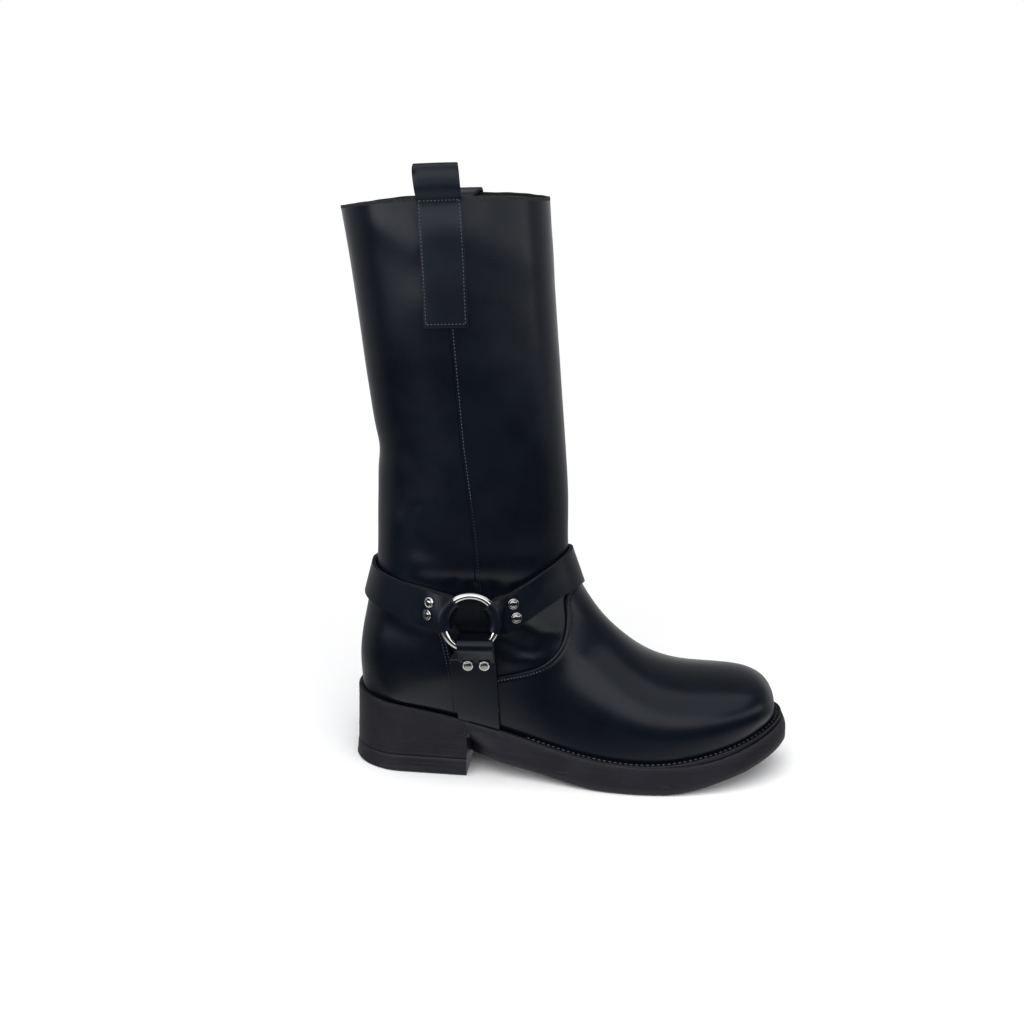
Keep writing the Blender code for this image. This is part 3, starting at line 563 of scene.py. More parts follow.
class Wire:
    """A shader socket that takes part in Python sums; each sum adds its Math node."""

    def __init__(self, tree, socket):
        self.tree = tree
        self.socket = socket

    def _math(self, operation, first, second):
        made = self.tree.nodes.new("ShaderNodeMath")
        made.operation = operation
        for socket, value in zip(made.inputs, (first, second)):
            feed(self.tree, socket, value)
        return Wire(self.tree, made.outputs[0])

    def __add__(self, other):
        return self._math("ADD", self, other)

    def __radd__(self, other):
        return self._math("ADD", other, self)

    def __sub__(self, other):
        return self._math("SUBTRACT", self, other)

    def __rsub__(self, other):
        return self._math("SUBTRACT", other, self)

    def __mul__(self, other):
        return self._math("MULTIPLY", self, other)

    def __rmul__(self, other):
        return self._math("MULTIPLY", other, self)

    def __pow__(self, other):
        return self._math("POWER", self, other)


class Shading:
    """A node tree with its coordinates, and ways to add nodes to it."""

    def __init__(self, tree, coordinates):
        self.tree = tree
        self.place = self.node("ShaderNodeTexCoord", output=coordinates)

    def node(self, kind, settings=None, sockets=None, output=0):
        """Any node: its settings first, then values or wires for its sockets, by name or number."""
        made = self.tree.nodes.new(kind)
        for name, value in (settings or {}).items():
            setattr(made, name, value)
        for name, value in (sockets or {}).items():
            feed(self.tree, made.inputs[name], value)
        return Wire(self.tree, made.outputs[output])

    def axes(self, names):
        """The coordinates along the named axes."""
        return (self.node("ShaderNodeSeparateXYZ", sockets={"Vector": self.place}, output=name) for name in names)

    def noise(self, scale, detail=2.0, roughness=0.5, place=None):
        """Soft noise, scale being about how many of its patches go into a metre."""
        return self.node(
            "ShaderNodeTexNoise",
            sockets={"Vector": place or self.place, "Scale": scale, "Detail": detail, "Roughness": roughness},
        )

    def ramp(self, value, low, high):
        """0 below low, 1 above high."""
        return self.node(
            "ShaderNodeMapRange", {"interpolation_type": "SMOOTHSTEP"},
            {"Value": value, "From Min": low, "From Max": high},
        )

    def mix(self, factor, first, second):
        """Colour between two colours."""
        sockets = {0: factor, 6: first, 7: second}
        return self.node("ShaderNodeMix", {"data_type": "RGBA"}, sockets, output=2)

    def bump(self, height, strength, distance):
        """Fine relief, as a normal."""
        return self.node(
            "ShaderNodeBump", sockets={"Height": height, "Strength": strength, "Distance": distance},
            output="Normal",
        )


class Finish(Shading):
    """A material with its Principled shader and Object coordinates."""

    def __init__(self, name):
        self.material = bpy.data.materials.new(name)
        self.material.use_nodes = True
        super().__init__(self.material.node_tree, "Object")
        self.shader = self.tree.nodes["Principled BSDF"]

    def set(self, **sockets):
        """Values or wires for the shader's sockets, named with _ for a space."""
        for name, value in sockets.items():
            feed(self.tree, self.shader.inputs[name.replace("_", " ").title().replace("Ior", "IOR")], value)

    def shades(self, mask, colour, dark, light):
        """A colour that goes from a dark to a light tint of itself as the mask goes from 0 to 1."""
        return self.mix(mask, tint(colour, dark), tint(colour, light))

    def stretched(self, along, up):
        """Coordinates for a pattern with this many patches to a metre along the floor and up from it."""
        return self.node(
            "ShaderNodeMapping", {"vector_type": "POINT"}, {"Vector": self.place, "Scale": (along, along, up)}
        )


def tint(colour, share):
    """A colour times a share, as the shader takes it."""
    return tuple(min(1.0, c * share) for c in colour) + (1.0,)


def leather_finish(sizes, looks, name, roughness=0.0, worn=0.0):
    """Smooth black leather: fine grain, faint pull lines and a soft uneven gloss."""
    made = Finish(name)
    scale = 1.0 / sizes.grain
    broad = made.noise(scale=9.0, detail=3.0)
    patches = made.noise(scale=60.0, detail=4.0, roughness=0.6)
    cells = made.node(
        "ShaderNodeTexVoronoi", {"feature": "SMOOTH_F1"},
        {"Vector": made.place, "Scale": scale, "Smoothness": 0.6}, output="Distance",
    )
    fine = made.noise(scale=scale * 2.2, detail=3.0, roughness=0.6)
    pulls = made.noise(scale=130.0, detail=2.0, roughness=0.4)
    height = cells * 0.45 + fine * 0.35 + pulls * 0.4
    lifted = made.ramp(broad * 0.6 + patches * 0.4, 0.35, 0.68)
    made.set(
        base_color=made.shades(lifted, looks.leather, dark=0.85, light=1.35 + worn),
        roughness=(broad - 0.5) * 0.16 + (patches - 0.5) * 0.14 + (looks.leather_roughness + roughness),
        ior=1.5, specular_ior_level=0.26,
        normal=made.bump(height, strength=0.07, distance=0.0003),
    )
    return made.material


def cut_edge_finish(looks):
    """Raw cut edge of dyed leather: fibres and a little fuzz."""
    made = Finish("boot_cut_edge")
    fibres = made.noise(scale=900.0, detail=4.0, roughness=0.7)
    made.set(
        base_color=made.shades(made.ramp(fibres, 0.4, 0.7), looks.cut_leather, dark=0.6, light=1.9),
        roughness=fibres * 0.2 + 0.7,
        normal=made.bump(fibres, strength=0.7, distance=0.0006),
    )
    return made.material


def lining_finish(looks):
    """Napped inside of the shaft."""
    made = Finish("boot_lining")
    nap = made.noise(scale=1500.0, detail=3.0, roughness=0.7)
    brushed = made.noise(scale=45.0, detail=4.0, roughness=0.6)
    raised = made.ramp(brushed * 0.5 + nap * 0.5, 0.35, 0.65)
    made.set(
        base_color=made.shades(raised, looks.lining, dark=0.7, light=1.4),
        roughness=0.95, sheen_weight=0.35, sheen_roughness=0.5,
        normal=made.bump(nap, strength=0.5, distance=0.0005),
    )
    return made.material


def rubber_finish(looks, name, shade=1.0, worn=0.0, tread=False):
    """Moulded rubber: fine pitting, drag lines along the edge and small scuffs."""
    made = Finish(name)
    pits = made.noise(scale=1100.0, detail=3.0, roughness=0.6)
    drag = made.noise(scale=1.0, detail=3.0, roughness=0.6, place=made.stretched(along=55.0, up=420.0))
    rubbed = made.ramp(made.noise(scale=70.0), 0.5, 0.6)
    drawn = made.noise(scale=1.0, place=made.stretched(along=16.0, up=900.0))
    scuffs = made.ramp(drag, 0.62, 0.7) * rubbed + made.ramp(drawn, 0.6, 0.68) * 0.35
    dusty = made.noise(scale=30.0, detail=4.0, roughness=0.6)
    height = pits * 0.5 + drag * (0.35 + 2.0 * worn) - scuffs * 0.8
    if tread:
        lines = made.node(
            "ShaderNodeTexWave", {"wave_type": "BANDS", "bands_direction": "X", "wave_profile": "SAW"},
            {"Vector": made.place, "Scale": 26.0, "Distortion": 0.0},
        )
        facing = made.node("ShaderNodeNewGeometry", output="Normal")
        down = made.node("ShaderNodeSeparateXYZ", sockets={"Vector": facing}, output="Z")
        height = height + made.ramp(down * -1.0, 0.6, 0.8) * made.ramp(lines, 0.3, 0.4) * 4.0
    # A shade below 1 darkens the whole rubber; the welt's top uses it as painted shade
    colour = made.shades(made.ramp(dusty, 0.35, 0.75), looks.rubber, dark=0.75 * shade, light=1.3 * shade)
    made.set(
        base_color=made.mix(scuffs * (0.6 + worn), colour, tint(looks.rubber, 2.0 * shade)),
        roughness=(dusty - 0.5) * 0.18 + pits * 0.1 + 0.48,
        ior=1.5, specular_ior_level=0.4,
        normal=made.bump(height, strength=0.35, distance=0.0004),
    )
    return made.material


def nickel_finish(looks, name, shade=1.0):
    """Polished nickel plate with hairline wear."""
    made = Finish(name)
    cloudy = made.noise(scale=220.0, detail=3.0, roughness=0.6)
    hairs = made.noise(scale=2600.0)
    bright = made.ramp(cloudy, 0.3, 0.75)
    made.set(
        # A shade below 1 darkens the nickel; the rivet caps use it as a painted dark reflection
        base_color=made.shades(bright, looks.nickel, dark=0.86 * shade, light=1.05 * shade),
        metallic=1.0,
        roughness=(cloudy - 0.5) * 0.1 + 0.14,
        normal=made.bump(hairs, strength=0.06, distance=0.0001),
    )
    return made.material


def thread_finish(colour, name):
    """Twisted waxed thread."""
    made = Finish(name)
    twist = made.noise(scale=2400.0, roughness=0.6)
    made.set(
        base_color=made.shades(made.ramp(twist, 0.35, 0.7), colour, dark=0.6, light=1.5),
        roughness=twist * 0.2 + 0.45,
        normal=made.bump(twist, strength=0.5, distance=0.0003),
    )
    return made.material


def finishes():
    """The boot's materials by name, made once."""
    sizes, looks = bpy.context.scene.boot_sizes, bpy.context.scene.boot_finishes
    if "boot_leather" not in bpy.data.materials:
        leather_finish(sizes, looks, "boot_leather")
        leather_finish(sizes, looks, "boot_strap_leather", roughness=0.04, worn=0.25)
        cut_edge_finish(looks)
        lining_finish(looks)
        rubber_finish(looks, "boot_rubber")
        # The welt's top, rubber painted near black: painted shade of the crevice under the upper
        rubber_finish(looks, "boot_welt_top_painted_shade", shade=0.06)
        rubber_finish(looks, "boot_worn_rubber", worn=0.4, tread=True)
        rubber_finish(looks, "boot_tread_rubber", tread=True)
        nickel_finish(looks, "boot_nickel")
        # Rivet caps in nickel painted darker: a painted dark reflection of the room
        nickel_finish(looks, "boot_nickel_cap_painted_dark", shade=0.55)
        thread_finish(looks.thread, "boot_thread")
        # Near-black copy of the thread: painted shade for the shaded parts of rows
        thread_finish(looks.painted_shade_thread, "boot_dark_thread")
        thread_finish(looks.welt_thread, "boot_welt_thread")
    return bpy.data.materials


# Points closer than this, in metres, are one point
SAME_POINT = 1e-6


def finish_piece(name, bm, materials, nodes=(), sharp=40.0):
    """A mesh object at the origin that rides on the boot and stands for its solids."""
    bmesh.ops.remove_doubles(bm, verts=bm.verts, dist=SAME_POINT)
    mesh = bpy.data.meshes.new(name)
    bm.to_mesh(mesh)
    bm.free()
    if not mesh.polygons:
        raise RuntimeError(name + " has no faces")
    mesh.shade_smooth()
    mesh.set_sharp_from_angle(angle=math.radians(sharp))
    for material in materials:
        mesh.materials.append(finishes()[material])
    made = bpy.data.objects.new(name, mesh)
    bpy.context.scene.collection.objects.link(made)
    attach(made, "root")
    if nodes:
        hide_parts(*nodes)
    return made


def grid_mesh(points, edged=(), rim=False):
    """A sheet of quads through rows and columns of points: edged columns take material 1, the last row 2."""
    rows, columns = points.shape[:2]
    bm = bmesh.new()
    bmesh.ops.create_grid(bm, x_segments=columns - 1, y_segments=rows - 1, size=0.5)
    for face in bm.faces:
        middle = face.calc_center_median()
        if int((middle.x + 0.5) * (columns - 1)) in edged:
            face.material_index = 1
        if rim and int((middle.y + 0.5) * (rows - 1)) == rows - 2:
            face.material_index = 2
    placed = in_frame(points)
    for vert in bm.verts:
        vert.co = placed[round((vert.co.y + 0.5) * (rows - 1)), round((vert.co.x + 0.5) * (columns - 1))]
    return bm


def leather_sheet(name, points, thickness, nodes, materials, centred=False, rim=False):
    """A leather sheet whose outer face lies on the points, with thickness behind it and softened edges."""
    bm = grid_mesh(points, rim=rim)
    made = finish_piece(name, bm, materials, nodes)
    wall = made.modifiers.new("thickness", "SOLIDIFY")
    wall.thickness = thickness * MM
    wall.offset = 0 if centred else -1
    wall.use_even_offset = True
    wall.material_offset = 1
    wall.material_offset_rim = 2
    soften(made)
    return made


def soften(made, segments=2):
    """Rounds a piece's cut edges."""
    edge = made.modifiers.new("softened edges", "BEVEL")
    edge.width = bpy.context.scene.boot_sizes.cut_edge
    edge.segments = segments
    edge.limit_method = "ANGLE"
    edge.angle_limit = math.radians(50)
    return edge


def tube_mesh(rings, closed=False, edged=()):
    """A skin through rings of points, closed round each ring, and capped or joined end to end."""
    rings = np.concatenate((rings, rings[:, :1]), axis=1)
    if closed:
        rings = np.concatenate((rings, rings[:1]), axis=0)
    bm = grid_mesh(rings, edged)
    bmesh.ops.remove_doubles(bm, verts=bm.verts, dist=SAME_POINT)
    bmesh.ops.dissolve_degenerate(bm, edges=bm.edges, dist=SAME_POINT / 10)
    if not closed:
        bmesh.ops.holes_fill(bm, edges=[edge for edge in bm.edges if edge.is_boundary], sides=0)
    bmesh.ops.recalc_face_normals(bm, faces=bm.faces)
    return bm


def lengths(points):
    """How far along a line each of its points lies."""
    return np.concatenate(([0], np.cumsum(np.linalg.norm(np.diff(points, axis=0), axis=-1))))


def even_rows(count, tries=600):
    """Section numbers spaced evenly along the boot's side."""
    v = np.linspace(0.0, COLLAR, tries)
    length = lengths(upper_points(0.25, v) + upper_points(0.5, v))
    return np.interp(np.linspace(0, length[-1], count), length, v)


# The upper's mesh, and how its front panel laps over the back one at the side seam
UPPER_ROWS = 200
UPPER_HALF = 96
SEAM_COLUMN = 45
SEAM_HALF = 0.0015
SEAM_FROM = 17.0
SEAM_DIP = 0.12
SEAM_FRONT_EASE, SEAM_BACK_EASE = 0.07, 0.02
TOE_DIP = 0.2


def seam_share(v):
    """Share along each section where the side seam runs."""
    share, at = find_on_upper(*np.array(SIDE_SEAM).T)
    return np.interp(v, at, share)


class BOOT_OT_upper(bpy.types.Operator):
    """Make the hollow upper with its side seams, creases, cut collar and lining"""

    bl_idname = "boot.upper"
    bl_label = "Upper"

    def execute(self, context):
        rows = np.append(even_rows(UPPER_ROWS)[:-1], (COLLAR - COLLAR_EDGE, COLLAR))
        columns = (0, SEAM_COLUMN, SEAM_COLUMN + 1, UPPER_HALF)
        step = context.scene.boot_sizes.seam_step / MM
        u, out = [], []
        for v, seam in zip(rows, seam_share(rows)):
            share = np.interp(np.arange(UPPER_HALF + 1), columns, (0, seam - SEAM_HALF, seam + SEAM_HALF, 1))
            front = step * np.exp((seam - share) / SEAM_FRONT_EASE)
            back = -SEAM_DIP * np.exp((share - seam) / SEAM_BACK_EASE)
            lap = np.where(share > seam, front, back) * np.clip((v - SEAM_FROM) / 2, 0, 1)
            u.append(np.concatenate((share / 2, 1 - share[-2::-1] / 2)))
            out.append(np.concatenate((lap, lap[-2::-1])))
        u, out = np.array(u), np.array(out)
        v = np.repeat(rows[:, None], u.shape[1], axis=1)
        out -= np.clip(VAMP_FIRST - v, 0, 1) * TOE_DIP
        points = off_upper(u, v, out)
        points[0] = upper_points(u[0], v[0])
        points[-1, :, 2] += COLLAR_WAVE * (np.sin(u[-1] * 61) + np.sin(u[-1] * 143 + 1.0))
        leathers = ["boot_leather", "boot_lining", "boot_cut_edge"]
        leather_sheet("boot_upper", points, WALL, ["upper"], leathers, rim=True)
        return {"FINISHED"}


# The vamp's share up from the base at its back corner and at the toe
VAMP_CORNER_SHARE = 0.015
VAMP_TOE_SHARE = 0.065

# How deep an overlay's edge and its stitches sink into the leather, half how wide, and how far in the rows lie
EDGE_SINK, EDGE_SINK_WIDTH = 0.35, 0.7
VAMP_ROW = 2.3
VAMP_ROW_SINK, VAMP_ROW_WIDTH = 0.28, 0.8
COUNTER_ROWS = (2.2, 4.4)
COUNTER_ROW_SINK, COUNTER_ROW_WIDTH = 0.2, 0.7

# Height of the low edge of counter and down straps over the seat
LOW_EDGE = 0.9


def vamp_places(rows, columns):
    """Places u, v on the vamp: rows 0 at the toe to 1 at its back edge, columns 0 lateral to 1 medial."""
    share, v = find_on_upper(*np.array(VAMP_EDGE).T)
    share, v = np.concatenate(([VAMP_CORNER_SHARE], share, [1.0])), np.concatenate((v[:1], v, v[-1:]))
    run = lengths(upper_points(share / 2, v))
    run /= run[-1]
    along = np.minimum(2 * columns, 2 - 2 * columns)
    edge_share, edge_v = Curve(run, share)(along), Curve(run, v)(along)
    v = VAMP_FIRST + rows * (edge_v - VAMP_FIRST)
    toe_share = VAMP_TOE_SHARE + (1 - VAMP_TOE_SHARE) * along
    share = toe_share + rows * (edge_share - toe_share)
    return np.where(columns <= 0.5, share / 2, 1 - share / 2), v


def vamp_rate(columns):
    """Millimetres square to the vamp's back edge for a whole step of its rows, at the edge."""
    inward, aside = 0.01, 0.003
    edge, inner = (upper_points(*vamp_places(row, columns)) for row in (1.0, 1.0 - inward))
    before, after = (upper_points(*vamp_places(1.0, np.clip(columns + step, 0, 1))) for step in (-aside, aside))
    return np.linalg.norm(np.cross((edge - inner) / inward, unit(after - before)), axis=-1)


def vamp_points(rows, columns, out):
    """Points on the vamp, pressed in at its edge and under its stitches."""
    edge_gap = (1 - rows) * vamp_rate(columns)
    sink = EDGE_SINK * bell(edge_gap, EDGE_SINK_WIDTH) + VAMP_ROW_SINK * bell(edge_gap - VAMP_ROW, VAMP_ROW_WIDTH)
    return off_upper(*vamp_places(rows, columns), out - sink)


def counter_points(rows, columns, out):
    """Points on the counter: rows 0 low to 1 top, columns 0 lateral front to 1 medial front."""
    edge = curve(COUNTER_EDGE, EDGE_COLUMNS, "z", "x")
    forward = 1 - np.cos(np.abs(2 * columns - 1) * math.pi / 2)
    low = seat(HEEL_CORNER_X + forward * (COUNTER_EDGE[0][0] - HEEL_CORNER_X)) + LOW_EDGE
    top = COUNTER_TOP_BACK_Z + forward * (COUNTER_EDGE[-1][1] - COUNTER_TOP_BACK_Z)
    z = low + rows * (top - low)
    reach = edge(z) - back_line(z)
    x = back_line(z) + forward * reach
    share, v = find_on_upper(x, z)
    edge_gap = (1 - forward) * reach
    sink = EDGE_SINK * bell(edge_gap, EDGE_SINK_WIDTH)
    for row in COUNTER_ROWS:
        sink += COUNTER_ROW_SINK * bell(edge_gap - row, COUNTER_ROW_WIDTH)
    return off_upper(np.where(columns <= 0.5, share / 2, 1 - share / 2), v, out - sink)


def ease_heel_turn(points, along=(0.841, 0.541), width=8.0, passes=60):
    """Smooths the counter up and down where the seat's turn to the back line would show as a crack."""
    off = along[0] * (points[..., 2] - BACK[0][0]) - along[1] * (points[..., 0] - HEEL_CORNER_X)
    share = bell(off, width)[1:-1, :, None]
    for _ in range(passes):
        points[1:-1] += ((points[2:] + points[:-2]) / 2 - points[1:-1]) * share
    return points


class BOOT_OT_overlays(bpy.types.Operator):
    """Make the vamp over toe and instep and the counter round the heel"""

    bl_idname = "boot.overlays"
    bl_label = "Vamp and Counter"

    def execute(self, context):
        out = OVERLAY_GAP + OVERLAY
        leathers = ["boot_leather", "boot_lining", "boot_cut_edge"]
        rows = self.closer_at_edge(np.linspace(0, 1, 130), 1.35)
        points = vamp_points(rows[:, None], np.linspace(0, 1, 151)[None, :], out)
        leather_sheet("boot_vamp", points, OVERLAY, ["vamp"], leathers)
        turn = np.linspace(-1, 1, 121)
        columns = (np.sign(turn) * self.closer_at_edge(np.abs(turn), 1.25) + 1) / 2
        points = counter_points(np.linspace(0, 1, 50)[:, None], columns[None, ::-1], out)
        leather_sheet("boot_counter", ease_heel_turn(points), OVERLAY, ["counter"], leathers)
        return {"FINISHED"}

    def closer_at_edge(self, share, power):
        """Shares 0 to 1 set closer together near 1."""
        return 1 - (1 - share) ** power


def ring_frame(side):
    """Middle of the ring and its three directions: to the toe, up, and out of the boot."""
    steps = np.array(((-1, 0), (1, 0), (0, -1), (0, 1))) * RING_RADIUS
    share, v = find_on_upper(RING_X + steps[:, 0], RING_Z + steps[:, 1])
    around = [Vector(p) for p in upper_points(on_side(share, side), v)]
    toe = (around[1] - around[0]).normalized()
    up = (around[3] - around[2]).normalized()
    out = toe.cross(up).normalized()
    out = out if out.y * side > 0 else -out
    up = out.cross(toe) if out.cross(toe).z > 0 else toe.cross(out)
    tilt = math.radians(RING_TILT)
    up, out = up * math.cos(tilt) - out * math.sin(tilt), out * math.cos(tilt) + up * math.sin(tilt)
    heights = [(p - around[0]).dot(out) for p in around]
    middle = sum(around, Vector()) / 4
    middle += out * (max(heights) - (middle - around[0]).dot(out) + RING_LIFT)
    return tuple(np.array(vector) for vector in (middle, toe, up, out))


def smooth_columns(table, columns, count):
    """Every column of a table, as count values along its smooth curve."""
    at = np.linspace(0, len(table) - 1, count)
    return [Curve(range(len(table)), column(table, columns, name))(at) for name in columns]


def fold_rows(strap, side, shares, count=16):
    """(under, over) rows where a strap folds round the ring, from inside the ring outwards."""
    middle, toe, up, out = ring_frame(side)
    start, end = WRAPS[strap]
    lift = 2 * GAP if strap == "front" else OVERLAY_GAP + OVERLAY + 2 * GAP
    reach, rise = (values[:, None] for values in smooth_columns(FOLD, FOLD_COLUMNS, count))
    turn = np.radians(start + (end - start) * shares)[None, :]
    spoke = toe * np.cos(turn)[..., None] + up * np.sin(turn)[..., None]
    over = middle + spoke * (RING_RADIUS + reach)[..., None]
    return side_points(over[..., 0], over[..., 2], side, lift), over + out * rise[..., None]


def eased_rows(fold, face, rows=9):
    """Rows of a fold, rows that run straight on from it, and the strap's own rows."""
    share = np.linspace(0, 1, rows + 1)[1:-1, None, None]
    return np.concatenate((fold, fold[-1] + (face[0] - fold[-1]) * share, face))


def strap_rings(under, over):
    """Closed rings of points round a strap from its under and over faces."""
    return np.concatenate((under, over[:, ::-1]), axis=1)


# An ankle strap's rows on each side, its lowest section number, and over one part in how many its fold thins out
STRAP_ROWS = 40
STRAP_FROM = 15.0
FOLD_PART = 3


def ankle_strap_faces(strap, table, middle, shares):
    """(under, over) faces of a strap from the lateral ring round the ankle to the medial ring."""
    at_middle = 0.0 if strap == "back" else 1.0
    edges, starts = {}, {}
    for i, edge in enumerate(("low", "top")):
        x, z = np.array(table)[:, 2 * i], np.array(table)[:, 2 * i + 1]
        share, v = find_on_upper(x, z)

        def height(at):
            return (section["ridge_z"](at) if strap == "front" else base_points(section["run"](at))[1]) - middle[i]

        share = np.append(share, at_middle)
        v = np.append(v, bisect(height, np.array(STRAP_FROM), np.array(float(COLLAR))))
        order = np.argsort(share)
        edges[edge], starts[edge] = Curve(share[order], v[order]), share[0]
    low_ring, low_middle, top_ring, top_middle = LIFTS[strap]
    along = np.linspace(0, 1, STRAP_ROWS)[:, None]
    thickness = STRAP * (2 - np.minimum(1.0, along * FOLD_PART))
    faces = {}
    for side in (LATERAL, MEDIAL):
        spots, ends = [], []
        lifts = low_ring + (low_middle - low_ring) * along, top_ring + (top_middle - top_ring) * along
        for edge, lift in zip(("low", "top"), lifts):
            share = starts[edge] + (at_middle - starts[edge]) * along
            spots.append((on_side(share, side), edges[edge](share)))
            ends.append(off_upper(*spots[-1], lift))
        u, v = (spots[0][i] + (spots[1][i] - spots[0][i]) * shares for i in (0, 1))
        face, normal = upper_points(u, v), upper_normals(u, v)
        wanted = ends[0] + (ends[1] - ends[0]) * shares[None, :, None]
        lift = np.maximum(GAP, np.sum((wanted - face) * normal, axis=-1))
        faces[side] = [face + normal * (lift + extra)[..., None] for extra in (0.0, thickness)]
    folds = {side: fold_rows(strap, side, shares) for side in (LATERAL, MEDIAL)}
    joined = []
    for i in (0, 1):
        lateral, medial = (eased_rows(folds[side][i], faces[side][i]) for side in (LATERAL, MEDIAL))
        joined.append(np.concatenate((lateral, medial[-2::-1])))
    return joined


def down_strap_faces(side, shares):
    """(under, over) faces of a strap from the ring to the welt, with the folded tab on its face."""
    middle, toe, up, out = ring_frame(side)
    back = curve(DOWN_STRAP[::-1], DOWN_STRAP_COLUMNS, "z", "back_x")
    front = curve(DOWN_STRAP[::-1], DOWN_STRAP_COLUMNS, "z", "front_x")
    lift = OVERLAY_GAP + OVERLAY + GAP
    drop, rise = (values[:, None, None] for values in smooth_columns(TAB, TAB_COLUMNS, 20))
    across = np.clip((shares - TAB_FROM) / (1 - TAB_FROM), 0, 1)[None, :, None]
    fold = middle + toe * (TAB_TOP[0] + (TAB_TOP[1] - TAB_TOP[0]) * across - RING_X) - up * drop
    low_back, low_front = back(DOWN_STRAP_LOW_Z), front(DOWN_STRAP_LOW_Z)
    low = seat(low_back + (low_front - low_back) * shares) + LOW_EDGE
    tab = np.linspace(DOWN_STRAP[0][0], TAB_END_Z + TAB_END_STEP, 10)[:, None] + 0 * shares
    band = TAB_END_Z + (low - TAB_END_Z) * np.linspace(0, 1, 20)[:, None]
    z = np.concatenate((tab, band))
    x = back(z) + (front(z) - back(z)) * shares
    layers = np.where((z > TAB_END_Z) & (shares > TAB_FROM), 2.0, 1.0)
    under = eased_rows(side_points(fold[..., 0], fold[..., 2], side, lift), side_points(x, z, side, lift))
    return under, eased_rows(fold + out * rise, side_points(x, z, side, lift + layers * STRAP))


class BOOT_OT_straps(bpy.types.Operator):
    """Make the harness straps, each folded round its ring"""

    bl_idname = "boot.straps"
    bl_label = "Harness Straps"

    def execute(self, context):
        shares = np.linspace(0, 1, 15)
        tab_shares = np.sort(np.append(np.linspace(0, 1, 17), (TAB_FROM, TAB_FROM + TAB_SIDE_STEP)))
        faces = {
            "strap_back": ankle_strap_faces("back", BACK_STRAP, BACK_STRAP_MIDDLE, shares),
            "strap_front": ankle_strap_faces("front", FRONT_STRAP, FRONT_STRAP_MIDDLE, shares),
            "strap_down_lateral": down_strap_faces(LATERAL, tab_shares),
            "strap_down_medial": down_strap_faces(MEDIAL, tab_shares),
        }
        for node, (under, over) in faces.items():
            width = under.shape[1]
            bm = tube_mesh(strap_rings(under, over), edged=(width - 1, 2 * width - 1))
            leathers = ["boot_strap_leather", "boot_cut_edge"]
            made = finish_piece("boot_" + node, bm, leathers, [node], sharp=55.0)
            soften(made, segments=3)
        return {"FINISHED"}


